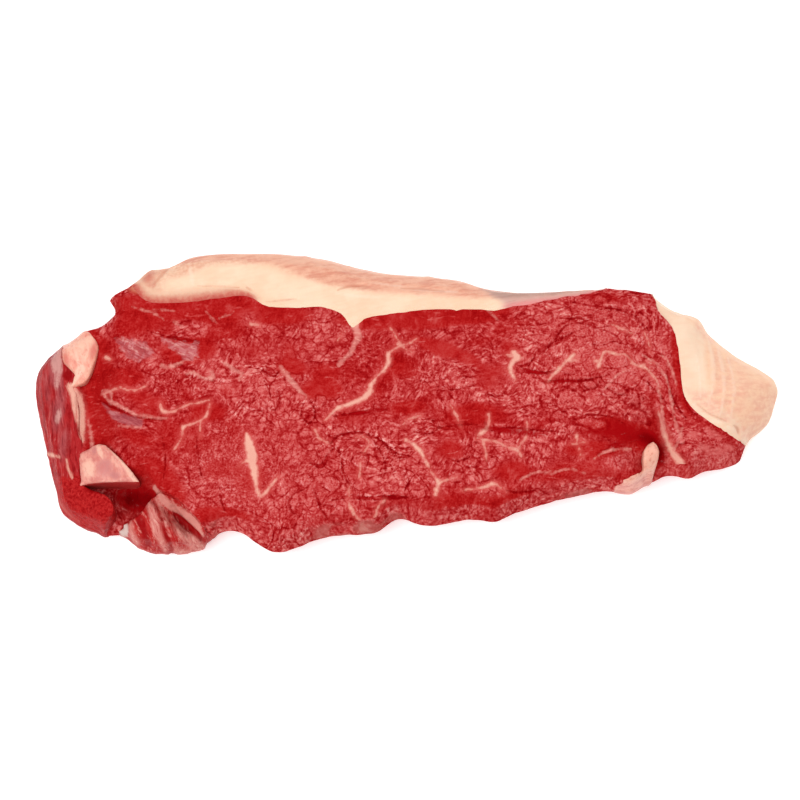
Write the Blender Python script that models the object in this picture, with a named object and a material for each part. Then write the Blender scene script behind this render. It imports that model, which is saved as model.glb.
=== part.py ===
"""Raw beef striploin: one thick steak sliced across the loin, lying on one of its two cut faces.

Metres, +X along the steak, +Y towards the fat cap, +Z up. The origin is on the resting face, under the
middle of the plan. The plan is one closed outline, which seams divide into the lean and the fat and
muscle round it. Each piece starts as a flat sheet over its own share of the plan. The sheet is extruded
through the steak, and then its two faces take the heights of the upper cut face and the resting face.
"""

import math

import bmesh
import bpy
import numpy as np
from mathutils import Vector
from mathutils.geometry import delaunay_2d_cdt

# Driving sizes, in metres
THICKNESS = 0.024
GAP = 0.0003
EDGE_STEP = 0.0021
INNER_STEP = 0.0040
RIM_BAND = 0.003
HEEL_RADIUS = 0.005
SHARP_ANGLE = math.radians(40)

# Everything below this line is in millimetres, up to the last step of make_piece
MM = 0.001

# Where rings of points lie inside the edge, as shares of the shoulder, or of NARROW where it is wider
NARROW = 6.0
RING_SHARES = (0.15, 0.45, 1.0)
WIDE_RING_SHARES = (0.65, 1.0)

# The outline, clockwise seen from above, as stretches that end where a seam comes out at the edge.
# A row is x, y, the width of the rounded shoulder inside the edge, and the height of the edge there.
OUTLINE = {
    "spike": (
        (-105.6, 22.6, 4, 9), (-99.7, 24.6, 4, 9), (-95.4, 28.0, 4, 10), (-94.9, 30.4, 3, 11),
        (-97.3, 33.6, 3, 12), (-95.0, 34.8, 3, 12),
    ),
    "cap": (
        (-90.0, 37.3, 4, 10), (-87.0, 41.2, 5, 10), (-83.5, 43.8, 5, 9), (-77.6, 44.6, 6, 9),
        (-71.2, 48.2, 8, 9), (-50.0, 49.7, 8, 9), (-29.0, 48.4, 11, 8), (-11.5, 43.9, 11, 8),
        (17.0, 40.8, 10, 8), (26.0, 38.0, 9, 8), (34.0, 36.6, 8, 9), (49.0, 36.6, 6, 9),
    ),
    "far": ((67.0, 37.2, 5, 9), (74.0, 36.6, 5, 9)),
    "tail": (
        (80.0, 35.4, 5, 9), (87.5, 30.4, 10, 8), (96.0, 27.9, 14, 7), (98.4, 23.6, 16, 7),
        (106.3, 16.8, 20, 6), (120.4, 8.0, 24, 5), (121.4, 5.2, 24, 5), (120.0, -1.5, 22, 5),
        (118.0, -6.5, 18, 5),
    ),
    "lobe": (
        (109.9, -13.9, 13, 6), (109.0, -17.9, 12, 6), (106.4, -20.1, 12, 6), (96.0, -22.9, 12, 7),
        (91.8, -25.0, 10, 7), (85.3, -24.0, 8, 8),
    ),
    "nub": ((79.2, -26.4, 5, 9), (72.0, -30.5, 5, 9)),
    "near": (
        (67.0, -29.3, 4, 9), (57.5, -30.4, 5, 9), (34.0, -36.9, 5, 9), (29.6, -39.3, 5, 9),
        (21.0, -38.5, 5, 9), (7.0, -40.6, 5, 9), (-3.0, -38.4, 5, 9), (-10.0, -42.9, 5, 9),
        (-26.0, -44.2, 5, 9), (-39.5, -49.3, 5, 9), (-44.0, -48.9, 5, 9), (-55.5, -42.1, 5, 9),
    ),
    "flap": (
        (-62.8, -44.1, 4, 8), (-66.0, -47.5, 4, 7), (-80.5, -49.6, 5, 7), (-84.8, -48.6, 5, 7),
    ),
    "notch": ((-93.3, -43.2, 3, 6),),
    "side": (
        (-97.5, -43.6, 4, 7), (-107.5, -39.8, 8, 8), (-112.0, -35.6, 9, 8), (-113.8, -29.0, 9, 8),
        (-118.4, -10.0, 9, 9), (-121.0, 3.5, 9, 9), (-120.5, 8.5, 8, 9), (-117.5, 13.9, 7, 9),
    ),
    "corner": ((-112.3, 18.1, 6, 9),),
}

# Seams inside the plan. An end named for a stretch is the point where that stretch of outline starts.
SEAMS = {
    "cap_seam": (
        "cap", (-84.5, 30.5), (-73.0, 30.0), (-63.0, 31.5), (-51.0, 33.0), (-44.5, 29.0), (-31.0, 29.0),
        (-21.0, 26.0), (-17.5, 21.5), (-13.5, 24.5), (0.5, 26.5), (28.5, 27.5), (49.5, 31.0),
        (60.0, 33.0), "far",
    ),
    "tail_seam": (
        "tail", (81.0, 28.0), (85.5, 22.5), (88.0, 11.5), (89.5, -0.5), (92.5, -5.0), (100.5, -11.0),
        (105.5, -13.5), "lobe",
    ),
    "nub_seam": (
        "nub", (80.5, -22.5), (81.2, -18.5), (79.0, -15.5), (76.0, -18.5), (75.5, -21.5), (76.0, -24.5),
        (71.0, -27.0), "near",
    ),
    "flap_inner_seam": ("flap", (-65.5, -42.5), (-68.5, -39.5), (-73.5, -34.5), "flap_top"),
    "flap_outer_seam": ("flap_top", (-83.0, -34.5), (-86.0, -38.5), "notch"),
    "lobe_seam": ("side", (-93.5, -38.5), (-95.0, -34.0), (-100.5, -31.0), "lump_foot"),
    "lump_base_seam": ("lump_foot", (-95.0, -29.2), (-90.0, -29.0), "lump_tip"),
    "lump_inner_seam": ("lump_tip", (-89.5, -23.5), (-93.5, -19.5), (-98.5, -15.8), "lump_top"),
    "lump_side_seam": ("lump_top", (-105.2, -23.5), "lump_foot"),
    "side_seam": ("lump_top", (-105.5, -10.5), (-106.0, -2.0), "fork"),
    "fork_outer_seam": ("fork", (-107.5, 7.0), (-111.0, 10.5), "corner"),
    "fork_inner_seam": ("fork", (-104.0, 4.0), (-100.5, 11.5), (-99.8, 17.0), "spike"),
}
SEAM_JOINTS = {
    "flap_top": (-79.5, -31.5), "lump_tip": (-84.8, -29.6), "lump_top": (-104.5, -19.0),
    "lump_foot": (-104.5, -29.5), "fork": (-108.5, 2.5),
}

# Each piece: the stretches and seams round it, in turn. A minus sign runs one the other way.
PIECES = {
    "lean": (
        "spike", "cap_seam", "far", "tail_seam", "lobe", "nub_seam", "near", "flap_inner_seam",
        "flap_outer_seam", "notch", "lobe_seam", "lump_base_seam", "lump_inner_seam", "side_seam",
        "fork_inner_seam",
    ),
    "side_muscle": (
        "side", "-fork_outer_seam", "-side_seam", "lump_side_seam", "-lobe_seam",
    ),
    "flap": ("flap", "-flap_outer_seam", "-flap_inner_seam"),
    "fat_cap": ("cap", "-cap_seam"),
    "tail_fat": ("tail", "-tail_seam"),
    "edge_fat": ("nub", "-nub_seam"),
    "seam_fat_upper": ("corner", "-fork_inner_seam", "fork_outer_seam"),
    "seam_fat_lower": ("-lump_inner_seam", "-lump_base_seam", "-lump_side_seam"),
}
COLOURS = {
    "lean": (0.52, 0.055, 0.052), "side_muscle": (0.42, 0.05, 0.05), "flap": (0.55, 0.15, 0.13),
    "fat_cap": (0.94, 0.73, 0.50), "tail_fat": (0.94, 0.70, 0.47), "edge_fat": (0.88, 0.55, 0.42),
    "seam_fat_upper": (0.93, 0.45, 0.35), "seam_fat_lower": (0.80, 0.37, 0.31),
}

# Grooves of the upper cut face: rows of x, y and depth, then the widths left and right of the path
CREASE = ((57.5, 1.5, 0.3), (64.0, 0.0, 1.2), (71.0, -4.0, 3.0), (77.0, -8.5, 5.5), (80.5, -14.5, 7.5),
          (83.0, -20.5, 7.0), (83.0, -26.0, 5.0))
CREASE_WIDTHS = (5, 17)
VALLEY = ((-99.0, 20.0, 0.5), (-101.5, 10.5, 3.0), (-103.0, 2.0, 4.0), (-102.5, -10.0, 4.5),
          (-99.0, -18.0, 4.0), (-93.0, -27.5, 2.0))
VALLEY_WIDTHS = (11, 4)
PIT = ((-104.0, -30.0, 6.0), (-97.0, -30.5, 9.0), (-89.0, -32.5, 12.5), (-86.5, -35.0, 13.5),
       (-91.5, -41.0, 13.0), (-95.5, -44.0, 10.0))
PIT_WIDTHS = (9, 8)
FLAP_GAP = ((-78.5, -33.0, 3.5), (-75.0, -37.0, 6.0), (-71.0, -41.5, 6.0), (-66.0, -46.5, 3.0))
FLAP_GAP_WIDTHS = (2.6, 4.5)
FLAP_EDGE = ((-79.5, -31.5, 3.5), (-73.5, -35.5, 4.5), (-68.5, -40.0, 3.5), (-65.0, -45.0, 1.0))
FLAP_RIDGES = (
    ((-82.5, -36.0, 1.0), (-78.5, -41.0, 2.0), (-73.0, -47.5, 1.2)),
    ((-87.0, -41.5, 0.8), (-83.0, -47.0, 1.4)),
)
RIDGE_WIDTHS = (3.2, 3.2)

# How far the cut face lies below full thickness at the side muscle, the tail and the flap
SIDE_DROP = 4.0
TAIL_DROP = 2.5
FLAP_DROP = 6.0
# The slow waves of the cut face: their height, and their length over a full turn of the sine
WAVE_HEIGHT = 0.5
WAVE_LENGTH = 11.0

# Mounds: x, y, radius and height
UPPER_LUMP = (-106.5, 13.5, 8.0, 1.6)
LOWER_LUMP = (-99.0, -24.5, 8.0, 1.8)
LOWER_LUMP_DISH = (-92.5, -26.0, 5.0, -1.0)
NUB_MOUND = (78.5, -20.0, 6.5, 1.6)


def curve(points, closed=False):
    """A smooth curve through rows whose first two columns are x and y, with a point every EDGE_STEP.

    It is a centripetal Catmull-Rom curve. The other columns change evenly between the rows. It also
    returns the index of each row's own point.
    """
    rows = np.array(points, float)
    if closed:
        padded = np.vstack([rows[-1], rows, rows[0], rows[1]])
    else:
        padded = np.vstack([2 * rows[0] - rows[1], rows, 2 * rows[-1] - rows[-2]])
    made = []
    starts = []
    for a, b, c, d in zip(padded, padded[1:], padded[2:], padded[3:]):
        starts.append(sum(len(run) for run in made))
        steps = max(1, round(np.hypot(*(c - b)[:2]) * MM / EDGE_STEP))
        made.append(bend(a, b, c, d, steps))
    if not closed:
        starts.append(sum(len(run) for run in made))
        made.append(rows[-1:])
    return np.vstack(made), starts


def bend(a, b, c, d, steps):
    """Rows from b up to c, without c, on the smooth curve through four rows."""
    t0 = 0.0
    t1 = t0 + np.hypot(*(b - a)[:2]) ** 0.5
    t2 = t1 + np.hypot(*(c - b)[:2]) ** 0.5
    t3 = t2 + np.hypot(*(d - c)[:2]) ** 0.5
    t = np.linspace(t1, t2, steps, endpoint=False)[:, None]
    first = a + (b - a) * (t - t0) / (t1 - t0)
    second = b + (c - b) * (t - t1) / (t2 - t1)
    third = c + (d - c) * (t - t2) / (t3 - t2)
    early = first + (second - first) * (t - t0) / (t2 - t0)
    late = second + (third - second) * (t - t1) / (t3 - t1)
    rows = early + (late - early) * (t - t1) / (t2 - t1)
    rows[:, 2:] = b[2:] + (c - b)[2:] * np.linspace(0, 1, steps, endpoint=False)[:, None]
    return rows


def nearest(path, plan):
    """For each plan point, its distance to the path, the path's other columns there, and its side.

    The side is positive to the left of the path.
    """
    a = path[:-1]
    step = path[1:] - a
    share = along_share(plan, a, step)
    foot = a[None, :, :2] + share[..., None] * step[None, :, :2]
    away = plan[:, None, :] - foot
    distance = np.hypot(away[..., 0], away[..., 1])
    best = distance.argmin(axis=1)
    row = np.arange(len(plan))
    extra = a[best, 2:] + share[row, best][:, None] * step[best, 2:]
    side = step[best, 0] * away[row, best, 1] - step[best, 1] * away[row, best, 0]
    return distance[row, best], extra, side


def along_share(plan, a, step):
    """How far along each straight run, from 0 to 1, the nearest point to each plan point is."""
    offset = plan[:, None, :] - a[None, :, :2]
    dot = offset[..., 0] * step[None, :, 0] + offset[..., 1] * step[None, :, 1]
    return np.clip(dot / np.maximum((step[:, :2] ** 2).sum(axis=1), 1e-9), 0, 1)


def groove(path, widths, plan):
    """Depth of a groove under each plan point, from its full depth on the path to none at its width."""
    distance, extra, side = nearest(np.array(path, float), plan)
    width = np.where(side > 0, widths[0], widths[1])
    return extra[:, 0] * np.clip(1 - (distance / width) ** 2, 0, 1) ** 1.5


def mound(shape, plan):
    """Height of a round mound over each plan point."""
    x, y, radius, height = shape
    distance = np.hypot(plan[:, 0] - x, plan[:, 1] - y)
    return height * np.clip(1 - (distance / radius) ** 2, 0, 1) ** 1.5


def eased(value, start, end):
    """0 at start, 1 at end, with a smooth rise between."""
    share = np.clip((value - start) / (end - start), 0, 1)
    return share * share * (3 - 2 * share)


def cut_level(plan, piece):
    """Height in millimetres of the upper cut face before its edges are rounded."""
    x, y = plan[:, 0], plan[:, 1]
    level = THICKNESS / MM - SIDE_DROP * eased(x, -90, -106) - TAIL_DROP * eased(x, 68, 90)
    turn = x / WAVE_LENGTH + 0.6 * np.sin(y / 9)
    level = level + WAVE_HEIGHT * np.sin(turn) * np.cos(y / WAVE_LENGTH + 1)
    if piece != "edge_fat":
        level = level - groove(CREASE, CREASE_WIDTHS, plan)
    if not piece.startswith("seam_fat"):
        level = level - groove(VALLEY, VALLEY_WIDTHS, plan)
    if piece == "lean":
        level = level - groove(PIT, PIT_WIDTHS, plan)
    if piece == "flap":
        level = level - FLAP_DROP + groove(FLAP_EDGE, RIDGE_WIDTHS, plan)
        level = level - groove(FLAP_GAP, FLAP_GAP_WIDTHS, plan)
        for ridge in FLAP_RIDGES:
            level = level + groove(ridge, RIDGE_WIDTHS, plan)
    if piece == "edge_fat":
        level = level + mound(NUB_MOUND, plan)
    if piece == "seam_fat_upper":
        level = level + mound(UPPER_LUMP, plan)
    if piece == "seam_fat_lower":
        level = level + mound(LOWER_LUMP, plan) + mound(LOWER_LUMP_DISH, plan)
    return level


def near_edge(plan, edge):
    """For each plan point, its distance to the steak's edge, and the shoulder and rim blended from there."""
    distance, _, _ = nearest(edge, plan)
    offset = plan[:, None, :] - edge[None, :-1, :2]
    weight = 1 / (1 + (offset**2).sum(axis=2)) ** 2
    blend = weight @ edge[:-1, 2:] / weight.sum(axis=1)[:, None]
    return distance, blend[:, 0], blend[:, 1]


def upper_heights(plan, piece, edge):
    """Height in millimetres of the upper face: the cut level, rounded down to the edge of the steak."""
    distance, shoulder, rim = near_edge(plan, edge)
    bulge = 2 - 0.5 * eased(shoulder, 8, 20)
    inward = np.clip(1 - distance / shoulder, 0, 1)
    share = (1 - inward**bulge) ** (1 / bulge)
    top = rim + RIM_BAND / MM / 2
    return top + (cut_level(plan, piece) - top) * share


def lower_heights(plan, edge):
    """Height in millimetres of the resting face: flat, rounded up to the edge of the steak."""
    distance, _, rim = near_edge(plan, edge)
    inward = np.clip(1 - distance / (HEEL_RADIUS / MM), 0, 1)
    return (rim - RIM_BAND / MM / 2) * (1 - np.sqrt(1 - inward**2))


def stretches_of(rows):
    """The outline's curve, and each named stretch of it with its last point in the next stretch."""
    names = list(rows)
    counts = [len(rows[name]) for name in names]
    curve_rows, starts = curve([row for name in names for row in rows[name]], closed=True)
    firsts = [starts[sum(counts[:i])] for i in range(len(names))] + [len(curve_rows)]
    ring = np.vstack([curve_rows, curve_rows[:1]])
    return ring, {name: ring[a : b + 1] for name, a, b in zip(names, firsts, firsts[1:])}


def seams_of(rows, stretches):
    """Each seam as a smooth curve between the places that its ends name."""
    places = {name: tuple(stretch[0, :2]) for name, stretch in stretches.items()} | SEAM_JOINTS
    made = {}
    for name, seam in rows.items():
        points = [places[end] if isinstance(end, str) else end for end in seam]
        made[name] = curve(points)[0]
    return made


def loop_of(pieces_round, stretches, seams):
    """The closed loop round a piece, anticlockwise, and for each run from a point whether it is a seam."""
    points = []
    is_seam = []
    for name in pieces_round:
        plain = name.lstrip("-")
        run = seams[plain] if plain in seams else stretches[plain][:, :2]
        run = run[::-1] if name.startswith("-") else run
        points.append(run[:-1])
        is_seam += [plain in seams] * (len(run) - 1)
    loop = np.vstack(points)
    return loop[::-1], np.roll(np.array(is_seam)[::-1], -1)


def drawn_in(loop, is_seam, gap):
    """The loop with its seams moved inwards by the gap, and its ends slid along the steak's edge."""
    run = np.roll(loop, -1, axis=0) - loop
    run = run / np.hypot(run[:, 0], run[:, 1])[:, None]
    inward = np.stack([-run[:, 1], run[:, 0]], axis=1)
    moved = loop.copy()
    for i in range(len(loop)):
        before, after = is_seam[i - 1], is_seam[i]
        if before and after:
            middle = inward[i - 1] + inward[i]
            length = np.hypot(*middle)
            moved[i] += middle / length * min(2.0, 2 / length) * gap
        elif before:
            moved[i] += run[i] * min(4 * gap, gap / max(run[i] @ inward[i - 1], 1e-6))
        elif after:
            back = -run[i - 1]
            moved[i] += back * min(4 * gap, gap / max(back @ inward[i], 1e-6))
    return moved


def inside(loop, plan):
    """Whether each plan point is within the loop."""
    x, y = plan[:, None, 0], plan[:, None, 1]
    a, b = loop[None], np.roll(loop, -1, axis=0)[None]
    rises = (a[..., 1] > y) != (b[..., 1] > y)
    slope = (b[..., 0] - a[..., 0]) / np.where(rises, b[..., 1] - a[..., 1], 1)
    return (rises & (x < a[..., 0] + (y - a[..., 1]) * slope)).sum(axis=1) % 2 == 1


def inner_points(edge):
    """Plan points for the steak's faces: rings inside its edge, lines along its grooves, and a grid."""
    run = np.roll(edge[:-1, :2], -1, axis=0) - np.roll(edge[:-1, :2], 1, axis=0)
    inward = np.stack([run[:, 1], -run[:, 0]], axis=1) / np.hypot(run[:, 0], run[:, 1])[:, None]
    points = []
    for share in RING_SHARES:
        points.append(edge[:-1, :2] + inward * share * np.minimum(edge[:-1, 2:3], NARROW))
    wide = edge[:-1, 2] > NARROW
    for share in WIDE_RING_SHARES:
        points.append((edge[:-1, :2] + inward * share * edge[:-1, 2:3])[wide])
    for path, widths in ((CREASE, CREASE_WIDTHS), (VALLEY, VALLEY_WIDTHS), (PIT, PIT_WIDTHS),
                         (FLAP_GAP, FLAP_GAP_WIDTHS)):
        points += lines_along(curve([row[:2] for row in path])[0], widths)
    for ridge in (FLAP_EDGE, *FLAP_RIDGES):
        points += lines_along(curve([row[:2] for row in ridge])[0], RIDGE_WIDTHS)
    step = INNER_STEP / MM
    low, high = edge[:, :2].min(axis=0), edge[:, :2].max(axis=0)
    for row, y in enumerate(np.arange(low[1], high[1], step * 0.87)):
        x = np.arange(low[0] + step * (row % 2) / 2, high[0], step)
        points.append(np.stack([x, np.full_like(x, y)], axis=1))
    return np.vstack(points)


def lines_along(path, widths):
    """Points on a path, and beside it on each side."""
    run = np.gradient(path, axis=0)
    left = np.stack([-run[:, 1], run[:, 0]], axis=1) / np.hypot(run[:, 0], run[:, 1])[:, None]
    return [path, path + left * widths[0] * 0.55, path - left * widths[1] * 0.55]


def spread(points, loop):
    """The points that lie clear inside the loop, left out where they crowd an earlier one."""
    distance, _, _ = nearest(np.vstack([loop, loop[:1]]), points)
    clear = points[inside(loop, points) & (distance > 0.45 * EDGE_STEP / MM)]
    kept = []
    least = 0.75 * EDGE_STEP / MM
    for point in clear:
        if not kept or np.hypot(*(np.array(kept) - point).T).min() > least:
            kept.append(point)
    return np.array(kept)


def make_piece(name, loop, inner, edge, middle, collection):
    """A sheet over the loop, extruded through the steak, with the heights of its two faces."""
    flat = [Vector(point) for point in np.vstack([loop, inner])]
    corners, _, faces, *_ = delaunay_2d_cdt(flat, [], [list(range(len(loop)))], 1, 1e-7)
    body = bmesh.new()
    under = [body.verts.new((*corner, 0)) for corner in corners]
    for face in faces:
        body.faces.new([under[i] for i in face])
    made = bmesh.ops.extrude_face_region(body, geom=body.faces[:])["geom"]
    upper = [item for item in made if isinstance(item, bmesh.types.BMVert)]
    for corner, height in zip(upper, upper_heights(plan_of(upper), name, edge)):
        corner.co.z = height
    for corner, height in zip(under, lower_heights(plan_of(under), edge)):
        corner.co.z = height
    bmesh.ops.translate(body, verts=body.verts[:], vec=(-middle[0], -middle[1], 0))
    bmesh.ops.scale(body, verts=body.verts[:], vec=(MM, MM, MM))
    bmesh.ops.triangulate(body, faces=body.faces[:])
    bmesh.ops.recalc_face_normals(body, faces=body.faces[:])
    mesh = bpy.data.meshes.new(name)
    body.to_mesh(mesh)
    body.free()
    mesh.shade_smooth()
    mesh.set_sharp_from_angle(angle=SHARP_ANGLE)
    mesh.materials.append(surface(name))
    piece = bpy.data.objects.new(name, mesh)
    collection.objects.link(piece)


def plan_of(corners):
    """The x and y of some corners."""
    return np.array([corner.co[:2] for corner in corners])


def surface(name):
    """The plain wet surface of one piece."""
    material = bpy.data.materials.new(name)
    material.use_nodes = True
    shader = material.node_tree.nodes["Principled BSDF"]
    shader.inputs["Base Color"].default_value = (*COLOURS[name], 1)
    shader.inputs["Roughness"].default_value = 0.4
    shader.inputs["Metallic"].default_value = 0
    return material


for old in list(bpy.data.objects):
    bpy.data.objects.remove(old, do_unlink=True)
striploin = bpy.data.collections.new("raw_beef_striploin")
bpy.context.scene.collection.children.link(striploin)

edge_curve, edge_stretches = stretches_of(OUTLINE)
seam_curves = seams_of(SEAMS, edge_stretches)
plan_middle = (edge_curve[:, :2].min(axis=0) + edge_curve[:, :2].max(axis=0)) / 2
face_points = inner_points(edge_curve)
for piece_name, runs in PIECES.items():
    piece_loop = drawn_in(*loop_of(runs, edge_stretches, seam_curves), GAP / MM / 2)
    piece_points = spread(face_points, piece_loop)
    make_piece(piece_name, piece_loop, piece_points, edge_curve, plan_middle, striploin)
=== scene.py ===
"""Looks of a raw beef striploin steak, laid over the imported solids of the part.

A skin is worked out in millimetres and put on its finished mesh in metres. X runs along the steak, Y towards
the fat cap and Z up. A drawn line is rows of x, y and width. A soft dab is x, y, half length, half width,
turn in degrees and strength.
"""

import math

import bmesh
import bpy
import numpy as np
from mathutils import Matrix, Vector, kdtree, noise
from mathutils.bvhtree import BVHTree


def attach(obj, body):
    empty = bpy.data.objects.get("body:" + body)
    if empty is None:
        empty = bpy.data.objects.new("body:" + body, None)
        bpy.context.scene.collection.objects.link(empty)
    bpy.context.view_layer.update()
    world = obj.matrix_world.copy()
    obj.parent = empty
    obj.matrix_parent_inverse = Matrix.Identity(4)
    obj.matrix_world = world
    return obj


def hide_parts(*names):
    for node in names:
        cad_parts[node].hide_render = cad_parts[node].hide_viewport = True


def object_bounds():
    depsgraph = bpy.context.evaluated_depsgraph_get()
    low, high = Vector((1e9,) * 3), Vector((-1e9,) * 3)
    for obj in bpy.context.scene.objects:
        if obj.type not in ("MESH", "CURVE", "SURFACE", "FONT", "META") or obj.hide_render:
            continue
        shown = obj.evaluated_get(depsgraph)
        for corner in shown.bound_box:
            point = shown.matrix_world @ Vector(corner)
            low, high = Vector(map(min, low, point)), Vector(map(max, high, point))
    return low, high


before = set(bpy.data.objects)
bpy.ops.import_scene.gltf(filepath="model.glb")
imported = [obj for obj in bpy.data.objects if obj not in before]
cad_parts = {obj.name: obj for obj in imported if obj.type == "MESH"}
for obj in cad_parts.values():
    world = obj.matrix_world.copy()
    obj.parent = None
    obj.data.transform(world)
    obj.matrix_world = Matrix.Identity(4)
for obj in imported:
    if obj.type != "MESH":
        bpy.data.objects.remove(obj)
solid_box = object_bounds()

# The lean: the large eye muscle of the loin with the loose lobe of its tail end, sliced across the grain.
# The cut ends of its fibre bundles give a wet, grainy face with fine cracks, thin streaks of fat run
# through it, and grey films of connective tissue show at the left. It grew fast to all the fat round it.

MM = 0.001
# How far a wall's outward direction may tip up or down, and how far up that of an upper face looks
WALL_TIP = 0.1
UPPER = 0.2
# The blocks of a skin's even mesh, how often its steps are smoothed, and how far each time in and back out
BLOCK = 1.0
SETTLE_TURNS = 16
SETTLE_PULLS = (0.6, -0.62)
# What counts as touching at a seam, how far a skin laps into its neighbour, and the share of that drawn back
SEAM_TOUCH = 0.45
LAP = 1.2
LAP_SINK = 0.4
# How far from a seam the relief begins and is at its full height
RELIEF_FADE = (0.3, 2.0)
# The seam between the lean and the fat cap lies beyond this y
CAP_SIDE = 20
# How far the lean reaches over the cap there, or the cap over the lean below zero: x, and the reach
CAP_SEAM = (
    (-75, 0), (-64, -0.3), (-51, -1.1), (-43, -0.2), (-34.5, -1.2), (-28, 0), (-8, 0), (0, 0.6), (9, 1.2),
    (14, 1.1), (16, 0.4), (18, 1), (24, 0.6), (28, -0.4), (32, 0.1), (44, -0.3), (50, -0.7), (56, -0.6),
    (66, 0),
)
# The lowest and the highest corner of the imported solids
SOLID_ENDS = np.array([list(corner) for corner in solid_box]) / MM

graph = bpy.context.evaluated_depsgraph_get()
solid_trees = {name: BVHTree.FromObject(solid, graph) for name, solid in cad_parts.items()}


def solid_block(name):
    """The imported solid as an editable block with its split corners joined, in metres."""
    block = bmesh.new()
    block.from_mesh(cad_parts[name].data)
    bmesh.ops.remove_doubles(block, verts=block.verts[:], dist=1e-6)
    block.normal_update()
    return block


def touches_neighbour(place, name):
    """Whether a place on one solid lies against another solid."""
    others = (tree for other, tree in solid_trees.items() if other != name)
    return any(tree.find_nearest(place, SEAM_TOUCH * MM)[0] is not None for tree in others)


def seam_points(block, name):
    """Points along the solid's seam walls, in plan, and the wall's outward direction at each."""
    places = []
    ways = []
    for face in block.faces:
        if abs(face.normal.z) < WALL_TIP and touches_neighbour(face.calc_center_median(), name):
            corners = [corner.co for corner in face.verts]
            middles = [(a + b) / 2 for a, b in zip(corners, corners[1:] + corners[:1])]
            for place in corners + middles:
                places.append((place.x / MM, place.y / MM, 0))
                ways.append(tuple(face.normal))
    return places, np.array(ways)


def over_seam(name, x, y):
    """How far the named solid's skin reaches past its seam along the fat cap."""
    side = {"lean": 1, "fat_cap": -1}.get(name, 0)
    return side * np.interp(x, *zip(*CAP_SEAM)) * (y > CAP_SIDE)


def lap_seams(block, name):
    """Moves the corners that lie against a neighbour a little way into it, so that no gap is left."""
    for corner in block.verts:
        way = Vector((corner.normal.x, corner.normal.y, 0))
        if way.length > 0.05 and touches_neighbour(corner.co, name):
            reach = LAP + max(over_seam(name, corner.co.x / MM, corner.co.y / MM), 0)
            corner.co += way.normalized() * reach * MM


def even_mesh(block, name):
    """The block as a mesh of small even faces, split once more where it faces up."""
    rough = bpy.data.meshes.new(name)
    block.to_mesh(rough)
    holder = bpy.data.objects.new(name, rough)
    bpy.context.scene.collection.objects.link(holder)
    remesh = holder.modifiers.new("even", "REMESH")
    remesh.mode = "VOXEL"
    remesh.voxel_size = BLOCK * MM
    made = bpy.data.meshes.new_from_object(holder.evaluated_get(bpy.context.evaluated_depsgraph_get()))
    bpy.data.objects.remove(holder)
    fine = bmesh.new()
    fine.from_mesh(made)
    upper = [face for face in fine.faces if face.normal.z > UPPER]
    edges = {edge for face in upper for edge in face.edges}
    bmesh.ops.subdivide_edges(fine, edges=list(edges), cuts=1, use_grid_fill=True)
    bmesh.ops.triangulate(fine, faces=[face for face in fine.faces if len(face.verts) > 4])
    fine.to_mesh(made)
    fine.free()
    return made


def read(items, name, width, kind=np.float32):
    """The numbers kept for each item of a mesh, as rows of the given width."""
    flat = np.empty(len(items) * width, kind)
    items.foreach_get(name, flat)
    return flat.reshape(-1, width)


def settled(points, edges):
    """The points with small steps and corners smoothed away, and the overall size kept."""
    share = 1 / np.maximum(np.bincount(edges.ravel(), minlength=len(points)), 1)
    for turn in range(SETTLE_TURNS):
        for pull in SETTLE_PULLS:
            middle = np.empty_like(points)
            for axis in range(3):
                value = points[:, axis]
                total = np.bincount(edges[:, 0], value[edges[:, 1]], len(points))
                total += np.bincount(edges[:, 1], value[edges[:, 0]], len(points))
                middle[:, axis] = total * share
            points = points + pull * (middle - points)
    return points


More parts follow.
